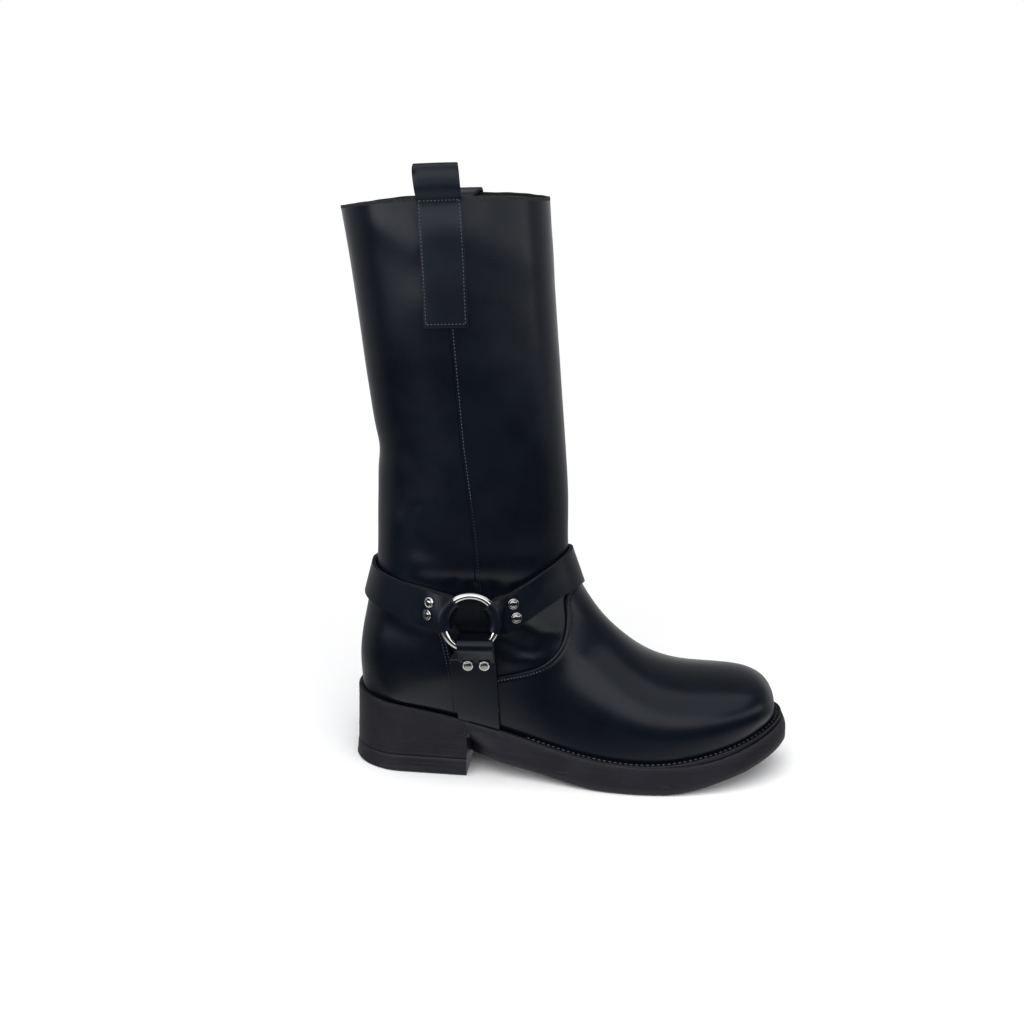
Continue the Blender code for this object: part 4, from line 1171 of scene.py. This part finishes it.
class BOOT_OT_metal(bpy.types.Operator):
    """Make the nickel rings and the domed rivets on the straps"""

    bl_idname = "boot.metal"
    bl_label = "Rings and Rivets"

    def execute(self, context):
        for side in (LATERAL, MEDIAL):
            self.ring(side)
        self.rivets()
        return {"FINISHED"}

    def ring(self, side):
        """A round nickel ring, tipped as its three straps hold it."""
        middle, toe, up, out = (Vector(v) for v in ring_frame(side))
        bm = bmesh.new()
        bmesh.ops.create_circle(bm, segments=20, radius=RING_WIRE * MM)
        bmesh.ops.rotate(bm, verts=bm.verts, matrix=Matrix.Rotation(math.pi / 2, 3, "X"))
        bmesh.ops.translate(bm, verts=bm.verts, vec=(RING_RADIUS * MM, 0, 0))
        bmesh.ops.spin(
            bm, geom=bm.verts[:] + bm.edges[:], axis=(0, 0, 1), angle=2 * math.pi, steps=96, use_merge=True
        )
        place = Matrix((toe, up, out)).transposed().to_4x4()
        place.translation = in_frame(middle)
        bmesh.ops.transform(bm, matrix=place, verts=bm.verts)
        bmesh.ops.recalc_face_normals(bm, faces=bm.faces)
        name = "ring_" + SIDE_NAMES[side]
        finish_piece("boot_" + name, bm, ["boot_nickel"], [name])

    def rivets(self):
        """All rivets as one piece, each spun from its profile, with the cap inside its rim painted darker as a
        painted dark reflection.
        """
        graph = bpy.context.evaluated_depsgraph_get()
        straps = {name: "boot_strap_" + name for name in ("back", "front", "down_lateral", "down_medial")}
        faces = {name: BVHTree.FromObject(bpy.data.objects[piece], graph) for name, piece in straps.items()}
        bm = bmesh.new()
        nodes = []
        for side in (LATERAL, MEDIAL):
            for number, (strap, x, z) in enumerate(RIVETS):
                strap_face = faces[strap + "_" + SIDE_NAMES[side] if strap == "down" else strap]
                place = self.rivet_place(strap_face, x, z, side)
                earlier_verts, earlier_faces = set(bm.verts), set(bm.faces)
                profile = [bm.verts.new((r * RIVET_RADIUS * MM, 0, h * MM)) for r, h in RIVET_PROFILE]
                lines = [bm.edges.new(pair) for pair in zip(profile, profile[1:])]
                bmesh.ops.spin(
                    bm, geom=profile + lines, axis=(0, 0, 1), angle=2 * math.pi, steps=28, use_merge=True
                )
                for face in set(bm.faces) - earlier_faces:
                    middle = face.calc_center_median()
                    # Cap faces take the darker nickel, a painted dark reflection
                    face.material_index = int(middle.z > 0 and middle.xy.length < CAP_SHARE * RIVET_RADIUS * MM)
                verts = [vert for vert in bm.verts if vert not in earlier_verts]
                bmesh.ops.transform(bm, matrix=place, verts=verts)
                nodes.append("rivet_" + SIDE_NAMES[side] + "_" + strap + "_" + str(number % 2 + 1))
        bmesh.ops.remove_doubles(bm, verts=bm.verts, dist=SAME_POINT)
        bmesh.ops.recalc_face_normals(bm, faces=bm.faces)
        finish_piece("boot_rivets", bm, ["boot_nickel", "boot_nickel_cap_painted_dark"], nodes)

    def rivet_place(self, strap_face, x, z, side):
        """Where a rivet sits on its strap, square to the strap's face and clear of it all round its rim."""
        ends = [Vector(in_frame(side_points(x, z, side, out))) for out in (RIVET_SEEN_FROM, 0.0)]
        spot, normal, _, _ = strap_face.ray_cast(ends[0], ends[1] - ends[0])
        if spot is None:
            raise RuntimeError("a rivet misses its strap")
        for _ in range(2):
            turn_to = normal.to_track_quat("Z", "Y").to_matrix()
            hits = []
            for turn in np.linspace(0, 2 * math.pi, 24, endpoint=False):
                rim = Vector((math.cos(turn), math.sin(turn), 0)) * RIVET_SEAT_SHARE * RIVET_RADIUS * MM
                hit = strap_face.ray_cast(spot + turn_to @ rim + normal * 10 * MM, -normal)
                if hit[0] is not None:
                    hits.append(hit)
            normal = sum((hit[1] for hit in hits), Vector()).normalized()
        place = normal.to_track_quat("Z", "Y").to_matrix().to_4x4()
        place.translation = spot + normal * max((hit[0] - spot).dot(normal) for hit in hits)
        return place


def pull_rows(side, count=120, columns=9):
    """Middle of a pull strap's band: rows from its low end over the loop and down inside the shaft."""
    top_z = upper_points(0.25, COLLAR)[2]
    ends = np.array(20.0), np.array(float(COLLAR))
    lowest = bisect(lambda v: upper_points(0.25, v)[2] - (top_z - PULL_DROP), *ends)
    across = np.linspace(-0.5, 0.5, columns)
    rows = []
    for v in np.linspace(lowest, COLLAR, 5)[:-1]:
        down = (COLLAR - v) / (COLLAR - lowest)
        share = share_at_x(PULL_COLLAR_X + PULL_LEAN * down + across * PULL_WIDTH, v)
        rows.append(off_upper(on_side(share, side), np.full_like(share, v), GAP + PULL / 2 + PULL_OFF))
    u = on_side(share_at_x(PULL_COLLAR_X + across * PULL_WIDTH, float(COLLAR)), side)
    edge = upper_points(u, COLLAR)
    rise = unit(edge - upper_points(u, COLLAR - 0.2))
    for out, up in LOOPS[side]:
        rows.append(edge + upper_normals(u, COLLAR - 0.1) * out + rise * up)
    rows = np.array(rows)
    length = lengths(rows[:, columns // 2])
    at = np.linspace(0, length[-1], count)
    flat = rows.reshape(len(rows), -1)
    smooth = np.stack([Curve(length, flat[:, i])(at) for i in range(flat.shape[1])], axis=-1)
    return smooth.reshape(count, columns, 3)


class BOOT_OT_pull_straps(bpy.types.Operator):
    """Make the two pull straps that loop over the collar"""

    bl_idname = "boot.pull_straps"
    bl_label = "Pull Straps"

    def execute(self, context):
        for side in (LATERAL, MEDIAL):
            name = "pull_strap_" + SIDE_NAMES[side]
            points = pull_rows(side)
            if side == MEDIAL:
                points = points[:, ::-1]
            leathers = ["boot_strap_leather", "boot_strap_leather", "boot_cut_edge"]
            leather_sheet("boot_" + name, points, PULL, [name], leathers, centred=True)
        return {"FINISHED"}


# The outsole's lip: where it starts to fall below the welt, over what length, and how deep at the heel and the toe
LIP_FROM, LIP_RUN = 190.0, 45.0
LIP_DEPTH, LIP_FALL = 0.35, WELT_THICKNESS - 0.3
BED_GAP = 0.05

# Rings of points along the heel and the rest of the sole, and the angle in degrees past which an edge stays sharp
HEEL_RINGS, FORE_RINGS, WELT_RINGS = 40, 90, 110
RUBBER_SHARP = 38.0

# Turn of the outline where the welt's groove starts, how soon it is full, and its insets
GROOVE_FROM, GROOVE_EASE = 0.42, 0.04
GROOVE_INSETS = (1.5, 3.6)


def sole_top(x):
    """Height of the outsole's lip outside the welt: nearly flush at heel and waist, under it at the toe."""
    share = np.clip((x - LIP_FROM) / LIP_RUN, 0, 1)
    return seat(x) - LIP_DEPTH - LIP_FALL * share * share * (3 - 2 * share)


def sole_bed(x):
    """Height of the outsole's top under the welt."""
    return seat(x) - WELT_THICKNESS - BED_GAP


LIP_LEVELS = [(1.16, sole_bed), (1.14, sole_top)]


def sole_ring(turn, levels):
    """Ring across the sole at one turn, from levels of inset and height."""
    ring = []
    for side, order in ((LATERAL, levels), (MEDIAL, levels[::-1])):
        for inset, height in order:
            x, y = outline_points(np.array([turn]), side, inset)
            ring.append((x[0], y[0], height(x[0]) if callable(height) else height))
    return ring


def heel_levels():
    """Inset and height of each level of the heel block, down to the line over the top lift."""
    low = TOP_LIFT_HEIGHT + GAP
    levels = LIP_LEVELS + [(0.8, lambda x: sole_top(x) - 0.15)]
    for share in (0.0, 0.2, 0.4, 0.6, 0.8):
        levels.append((0.6 * (1 - share**2), lambda x, s=share: (sole_top(x) - 0.8) * (1 - s) + (low + 0.6) * s))
    levels.append((0.1, low + 0.5))
    levels.append((0.5, low))
    return levels


def forefoot_levels(turn):
    """Inset and height of each level of the sole ahead of the heel: tucked in at the waist, full at the toe."""
    bumper = TOE_BUMPER * max(0.0, (turn - BUMPER_FROM) / (1 - BUMPER_FROM))

    def at(share):
        return lambda x: (sole_top(x) - 1.0) * (1 - share) + (underside(x) + 1.4) * share

    tuck = WAIST_TUCK * max(0.0, 1 - (turn - turn_at(HEEL_BREAST_X)) / WAIST_TUCK_TURN) ** 2
    levels = LIP_LEVELS + [(0.4, lambda x: sole_top(x) - 0.3)]
    for share in (0.0, 0.25, 0.5, 0.75, 1.0):
        bulge = bumper * math.sin(min(1.0, share * 1.6) * math.pi / 2)
        levels.append((tuck * min(1.0, max(0.0, share - 0.4) * 4.0) - bulge, at(share)))
    levels.append((0.7 + tuck - bumper, lambda x: underside(x) + 0.45))
    levels.append((SOLE_EDGE_ROUND + tuck - bumper, underside))
    return levels


class BOOT_OT_sole(bpy.types.Operator):
    """Make the rubber outsole with its heel, the top lift, the grooved welt and the insole's cover"""

    bl_idname = "boot.sole"
    bl_label = "Sole"

    def execute(self, context):
        breast, waist = turn_at(HEEL_BREAST_X), turn_at(HEEL_BREAST_X + BREAST_SLOPE)
        heel = [sole_ring(t, heel_levels()) for t in np.linspace(0, breast, HEEL_RINGS)]
        fore = [sole_ring(t, forefoot_levels(t)) for t in np.linspace(waist, 1, FORE_RINGS)]
        bm = tube_mesh(np.array(heel + fore))
        finish_piece("boot_outsole", bm, ["boot_tread_rubber"], ["outsole"], RUBBER_SHARP)
        self.top_lift(breast)
        self.welt()
        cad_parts["insole"].material_slots[0].material = finishes()["boot_lining"]
        return {"FINISHED"}

    def top_lift(self, breast):
        """The lowest layer of the heel, flared a little and rounded where it meets the floor."""
        levels = [(0.5, TOP_LIFT_HEIGHT), (0.1, TOP_LIFT_HEIGHT - 0.4)]
        for share in (0.2, 0.5, 0.8):
            levels.append((-HEEL_FLARE * share, TOP_LIFT_HEIGHT * (1 - share)))
        levels += [(-HEEL_FLARE, 1.0), (0.5 - HEEL_FLARE, 0.2), (1.2 - HEEL_FLARE, 0.0)]
        bm = tube_mesh(np.array([sole_ring(t, levels) for t in np.linspace(0, breast, HEEL_RINGS)]))
        finish_piece("boot_heel_top_lift", bm, ["boot_worn_rubber"], ["heel_top_lift"], RUBBER_SHARP)

    def welt(self):
        """The strip round the sole's top, with a groove for its stitches at the forefoot; its top is painted near
        black as painted shade under the upper.
        """
        low = WELT_THICKNESS
        profile = (
            (WELT_WIDTH, 0.0), (5.2, 0.0), (3.7, 0.0), (3.2, 0.3), (2.8, 0.4), (2.3, 0.4), (1.9, 0.3), (1.4, 0.0),
            (0.8, 0.0), (0.3, 0.15), (0.05, 0.5), (0.0, 1.0), (0.0, low - 0.4), (0.35, low), (WELT_WIDTH, low),
        )
        turns = np.linspace(0, 1, WELT_RINGS)
        rings = []
        for side, order in ((LATERAL, turns), (MEDIAL, turns[-2:0:-1])):
            for turn in order:
                stitched = min(1.0, max(0.0, (turn - GROOVE_FROM) / GROOVE_EASE))
                ring = []
                for inset, depth in profile:
                    x, y = outline_points(np.array([turn]), side, WELT_INSET + inset)
                    groove = depth * stitched if GROOVE_INSETS[0] < inset < GROOVE_INSETS[1] else depth
                    ring.append((x[0], y[0], float(seat(x[0])) - groove))
                rings.append(ring)
        # The top faces, the profile's first columns, take the rubber painted near black as painted shade
        bm = tube_mesh(np.array(rings), closed=True, edged=range(8))
        finish_piece("boot_welt", bm, ["boot_rubber", "boot_welt_top_painted_shade"], ["welt"], RUBBER_SHARP)


# How far a stitch's middle stands out of the leather, as a share of its thread, and the reach of its direction
STITCH_PROUD = 0.12
STITCH_REACH = 1e-4

# Side seam's row: first and last section, share ahead of the seam, and height over the leather
SEAM_ROW_SECTIONS = (17.2, COLLAR - 2.1)
SEAM_ROW_AHEAD, SEAM_ROW_OUT = 0.011, 0.55

# Vamp's row: its first and last column; counter's rows: how far the counter reaches from the back line
VAMP_ROW_COLUMNS = (0.012, 0.46)
COUNTER_REACH = 60.0

# Pull strap's rows: in from its sides, up from its low end, and short of the collar
PULL_ROW_IN, PULL_ROW_UP, PULL_ROW_SHORT = 1.4, 1.3, 0.5

# Welt's row: first turn of the outline, in from the welt's side, depth, and length and thickness as shares
WELT_ROW_FROM, WELT_ROW_IN, WELT_ROW_DEPTH = 0.44, 2.5, 0.25
WELT_STITCH_SHARE, WELT_THREAD_SHARE = 0.74, 1.7


def stitch_line(bm, points, normals, pitch, length, thickness):
    """Stitches along a line of points in metres, lying on the leather."""
    along = lengths(points)

    def at(distance, values):
        return Vector([np.interp(distance, along, values[:, i]) for i in range(3)])

    for run in np.arange(pitch / 2, along[-1], pitch):
        ahead, behind = at(min(run + STITCH_REACH, along[-1]), points), at(max(run - STITCH_REACH, 0), points)
        forward = (ahead - behind).normalized()
        normal = at(run, normals)
        out = (normal - forward * normal.dot(forward)).normalized()
        place = Matrix((forward * length / 2, out.cross(forward) * thickness / 2, out * thickness / 2))
        place = place.transposed().to_4x4()
        place.translation = at(run, points) + out * thickness * STITCH_PROUD
        bmesh.ops.create_uvsphere(bm, u_segments=6, v_segments=5, radius=1.0, matrix=place)


def surface_line(function, rows, columns, out):
    """Points and outward directions along a line on one of the overlay functions."""
    low, high = function(rows, columns, out), function(rows, columns, out + 1.0)
    return in_frame(low), unit(high - low)


class BOOT_OT_stitches(bpy.types.Operator):
    """Sew the seams: side seams, vamp, counter, pull straps and welt"""

    bl_idname = "boot.stitches"
    bl_label = "Stitches"

    def execute(self, context):
        sizes = context.scene.boot_sizes
        sewn = {"boot_thread": bmesh.new(), "boot_dark_thread": bmesh.new()}
        for side in (LATERAL, MEDIAL):
            for points, normals, light in self.leather_lines(side):
                # Outside the light part of a row the stitches take the thread painted near black as painted shade
                for thread, part in (("boot_thread", light), ("boot_dark_thread", ~light)):
                    if np.count_nonzero(part) > 1:
                        stitch_line(
                            sewn[thread], points[part], normals[part], sizes.stitch_pitch, sizes.stitch_length,
                            sizes.thread,
                        )
        for thread, bm in sewn.items():
            finish_piece(thread.replace("thread", "stitches"), bm, [thread])
        self.welt_stitches(sizes)
        return {"FINISHED"}

    def welt_stitches(self, sizes):
        """The row of longer stitches in the welt's groove."""
        bm = bmesh.new()
        length, thickness = sizes.welt_pitch * WELT_STITCH_SHARE, sizes.thread * WELT_THREAD_SHARE
        turns = np.linspace(WELT_ROW_FROM, 1, 260)
        for side in (LATERAL, MEDIAL):
            x, y = outline_points(turns, side, WELT_INSET + WELT_ROW_IN)
            points = np.stack((x, y, seat(x) - WELT_ROW_DEPTH), axis=-1)
            normals = np.tile((0.0, 0.0, 1.0), (len(points), 1))
            stitch_line(bm, in_frame(points), normals, sizes.welt_pitch, length, thickness)
        finish_piece("boot_welt_stitches", bm, ["boot_welt_thread"])

    def leather_lines(self, side):
        """Each row of stitches on one side: points, outward directions, and where the thread is light; elsewhere it
        is painted near black as painted shade.
        """
        out = OVERLAY_GAP + OVERLAY
        v = np.linspace(*SEAM_ROW_SECTIONS, 300)
        u = on_side(seam_share(v) + SEAM_ROW_AHEAD, side)
        points, normals = in_frame(off_upper(u, v, SEAM_ROW_OUT)), upper_normals(u, v)
        yield points, normals, points[:, 2] > SEAM_LIT_THREAD_FROM * MM
        columns = np.linspace(*VAMP_ROW_COLUMNS, 300)
        columns = columns if side == LATERAL else 1 - columns
        points, normals = surface_line(vamp_points, 1 - VAMP_ROW / vamp_rate(columns), columns, out)
        yield points, normals, points[:, 0] < in_frame((VAMP_LIT_THREAD_TO, 0, 0))[0]
        rows = np.linspace(0.03, 0.97, 200)
        for gap in COUNTER_ROWS:
            columns = np.full_like(rows, math.acos(gap / COUNTER_REACH) / math.pi)
            columns = 0.5 - columns if side == LATERAL else 0.5 + columns
            points, normals = surface_line(counter_points, rows, columns, out)
            yield points, normals, points[:, 2] > COUNTER_LIT_THREAD_FROM * MM
        for points, normals in self.pull_lines(side):
            yield in_frame(points), normals, np.ones(len(points), bool)

    def pull_lines(self, side):
        """Rows round the sewn part of a pull strap."""
        last = 40
        band = pull_rows(side, columns=last + 1)
        middle = band[:, last // 2]
        faces = unit(np.cross(band[:, -1] - band[:, 0], np.gradient(middle, axis=0)))
        faces *= np.sign(faces[5, 1]) * side
        on_face = band + faces[:, None] * PULL / 2
        length = lengths(middle)
        first, sewn = (int(np.searchsorted(length, at)) for at in (PULL_ROW_UP, PULL_DROP - PULL_ROW_SHORT))
        inset = round(PULL_ROW_IN / PULL_WIDTH * last)
        for column_at in (inset, last - inset):
            yield on_face[first:sewn, column_at], faces[first:sewn]
        for row in (first, sewn - 1):
            points = on_face[row, inset : last + 1 - inset]
            yield points, np.tile(faces[row], (len(points), 1))


WHITE = (1.0, 1.0, 1.0, 1.0)
VIEW_GAMMA = 0.76

# Pale floor: half its side, its shade, and how far from the boot it starts and ends to fade to white
FLOOR_HALF = 6.0
FLOOR_SHADE = (0.76, 0.76, 0.76, 1.0)
FLOOR_FADE = (0.14, 0.36)
FLOOR_FADE_LENGTHWAYS = 0.6

# The room that the boot mirrors: dark in front, white behind and bright below
ROOM_FRONT = (0.12, 0.125, 0.14, 1.0)
ROOM_BELOW = (2.1, 2.1, 2.1, 1.0)

# Softboxes: place and aim in metres, width, depth and watts
SOFTBOXES = {
    "front_softbox": ((0.0, -1.05, 0.72), (0.0, 0.0, 0.61), 1.3, 0.9, 13.8),
    "overhead_softbox": ((0.0, -0.3, 1.45), (0.0, 0.0, 0.0), 2.6, 1.6, 30.0),
    "left_softbox": ((-1.34, -1.16, 0.3), (-0.1, 0.0, 0.3), 1.5, 0.5, 14.0),
    "right_softbox": ((1.2, -0.64, 0.48), (-0.05, 0.0, 0.4), 1.7, 0.5, 8.8),
}

# Camera: place in table millimetres, degrees turned and rolled, fall and run of its view, lens and shift
CAMERA_PLACE = (180.1, -819.0, 390.8)
CAMERA_TURN, CAMERA_ROLL = 2.8, 1.4
CAMERA_FALL, CAMERA_RUN = 200.8, 820.0
CAMERA_SENSOR, CAMERA_LENS = 36.0, 46.84
CAMERA_SHIFT = (-0.0616, -0.0326)


class BOOT_OT_stage(bpy.types.Operator):
    """Set the pale floor, the soft studio light and the camera"""

    bl_idname = "boot.stage"
    bl_label = "Stage"

    def execute(self, context):
        scene = context.scene
        scene.view_settings.view_transform = "Standard"
        scene.view_settings.look = "None"
        scene.view_settings.gamma = VIEW_GAMMA
        self.floor(scene)
        self.world(scene)
        for name, values in SOFTBOXES.items():
            self.softbox(scene, name, *values)
        self.camera(scene)
        return {"FINISHED"}

    def floor(self, scene):
        """One pale floor that fades to white and isn't mirrored in the boot."""
        bm = bmesh.new()
        bmesh.ops.create_grid(bm, x_segments=2, y_segments=2, size=FLOOR_HALF)
        mesh = bpy.data.meshes.new("stage_floor")
        bm.to_mesh(mesh)
        bm.free()
        made = bpy.data.objects.new("stage_floor", mesh)
        scene.collection.objects.link(made)
        made.visible_glossy = False
        finish = Finish("stage_floor")
        x, y = finish.axes("XY")
        finish.set(base_color=FLOOR_SHADE, roughness=0.9, specular_ior_level=0.1)
        far = finish.node("ShaderNodeEmission", sockets={"Color": WHITE, "Strength": 1.0})
        away = finish.ramp((x * x * FLOOR_FADE_LENGTHWAYS + y * y) ** 0.5, *FLOOR_FADE)
        shader = Wire(finish.tree, finish.shader.outputs[0])
        mixed = finish.node("ShaderNodeMixShader", sockets={0: away, 1: shader, 2: far})
        feed(finish.tree, finish.tree.nodes["Material Output"].inputs["Surface"], mixed)
        mesh.materials.append(finish.material)

    def world(self, scene):
        """A white sky for the camera, and the room that the boot mirrors."""
        scene.world = bpy.data.worlds.new("stage_world")
        scene.world.use_nodes = True
        sky = Shading(scene.world.node_tree, "Generated")
        x, y, z = sky.axes("XYZ")
        down = z * -1.0
        dimmed_high = 1.0 - sky.ramp(z, 0.14, 0.32) * 0.5
        dimmed_low = 1.0 - sky.ramp(down, 0.05, 0.3) * 0.5
        behind = sky.ramp(y + x * x * 0.14, -0.15, 0.35) * dimmed_high * dimmed_low
        below = sky.ramp(down, 0.3, 0.7) * sky.ramp(x, -0.92, -0.45)
        seen = sky.node("ShaderNodeLightPath", output="Is Camera Ray")
        mirrored = sky.mix(below, sky.mix(behind, ROOM_FRONT, WHITE), ROOM_BELOW)
        background = sky.tree.nodes["Background"]
        feed(sky.tree, background.inputs["Color"], sky.mix(seen, mirrored, WHITE))
        feed(sky.tree, background.inputs["Strength"], 1.0)

    def softbox(self, scene, name, place, aim, width, depth, power):
        """A soft rectangular studio light."""
        light = bpy.data.lights.new(name, "AREA")
        light.shape = "RECTANGLE"
        light.size = width
        light.size_y = depth
        light.energy = power
        made = bpy.data.objects.new(name, light)
        made.location = place
        made.rotation_mode = "QUATERNION"
        made.rotation_quaternion = (Vector(aim) - Vector(place)).to_track_quat("-Z", "Y")
        scene.collection.objects.link(made)

    def camera(self, scene):
        """The photograph's view: a little ahead of square, tipped down and rolled."""
        turn, roll = math.radians(CAMERA_TURN), math.radians(CAMERA_ROLL)
        tip = math.atan2(CAMERA_FALL, CAMERA_RUN)
        look = Vector((-math.sin(turn) * math.cos(tip), math.cos(turn) * math.cos(tip), -math.sin(tip)))
        right = look.cross(Vector((0, 0, 1))).normalized()
        up = right.cross(look)
        right, up = right * math.cos(roll) + up * math.sin(roll), up * math.cos(roll) - right * math.sin(roll)
        place = Matrix((right, up, -look)).transposed().to_4x4()
        place.translation = in_frame(CAMERA_PLACE)
        made = bpy.data.objects.new("stage_camera", bpy.data.cameras.new("stage_camera"))
        made.data.sensor_width = CAMERA_SENSOR
        made.data.lens = CAMERA_LENS
        made.data.shift_x, made.data.shift_y = CAMERA_SHIFT
        made.matrix_world = place
        scene.collection.objects.link(made)
        scene.camera = made


OPERATORS = (
    BOOT_OT_upper, BOOT_OT_overlays, BOOT_OT_straps, BOOT_OT_metal, BOOT_OT_pull_straps, BOOT_OT_sole,
    BOOT_OT_stitches, BOOT_OT_stage,
)


class BOOT_PT_finish(bpy.types.Panel):
    """Lists the boot's sizes, finishes and pieces"""

    bl_idname = "BOOT_PT_finish"
    bl_label = "Harness Boot"
    bl_space_type = "VIEW_3D"
    bl_region_type = "UI"
    bl_category = "Boot"

    def draw(self, context):
        for group in (context.scene.boot_sizes, context.scene.boot_finishes):
            for name in group.__annotations__:
                self.layout.prop(group, name)
        for operator in OPERATORS:
            self.layout.operator(operator.bl_idname)


CLASSES = (Sizes, Finishes, *OPERATORS, BOOT_PT_finish)


def register():
    for made in CLASSES:
        bpy.utils.register_class(made)
    bpy.types.Scene.boot_sizes = PointerProperty(type=Sizes)
    bpy.types.Scene.boot_finishes = PointerProperty(type=Finishes)


def unregister():
    del bpy.types.Scene.boot_finishes
    del bpy.types.Scene.boot_sizes
    for made in reversed(CLASSES):
        bpy.utils.unregister_class(made)


def main():
    register()
    bpy.ops.boot.upper()
    bpy.ops.boot.overlays()
    bpy.ops.boot.straps()
    bpy.ops.boot.metal()
    bpy.ops.boot.pull_straps()
    bpy.ops.boot.sole()
    bpy.ops.boot.stitches()
    bpy.ops.boot.stage()


if __name__ == "__main__":
    main()
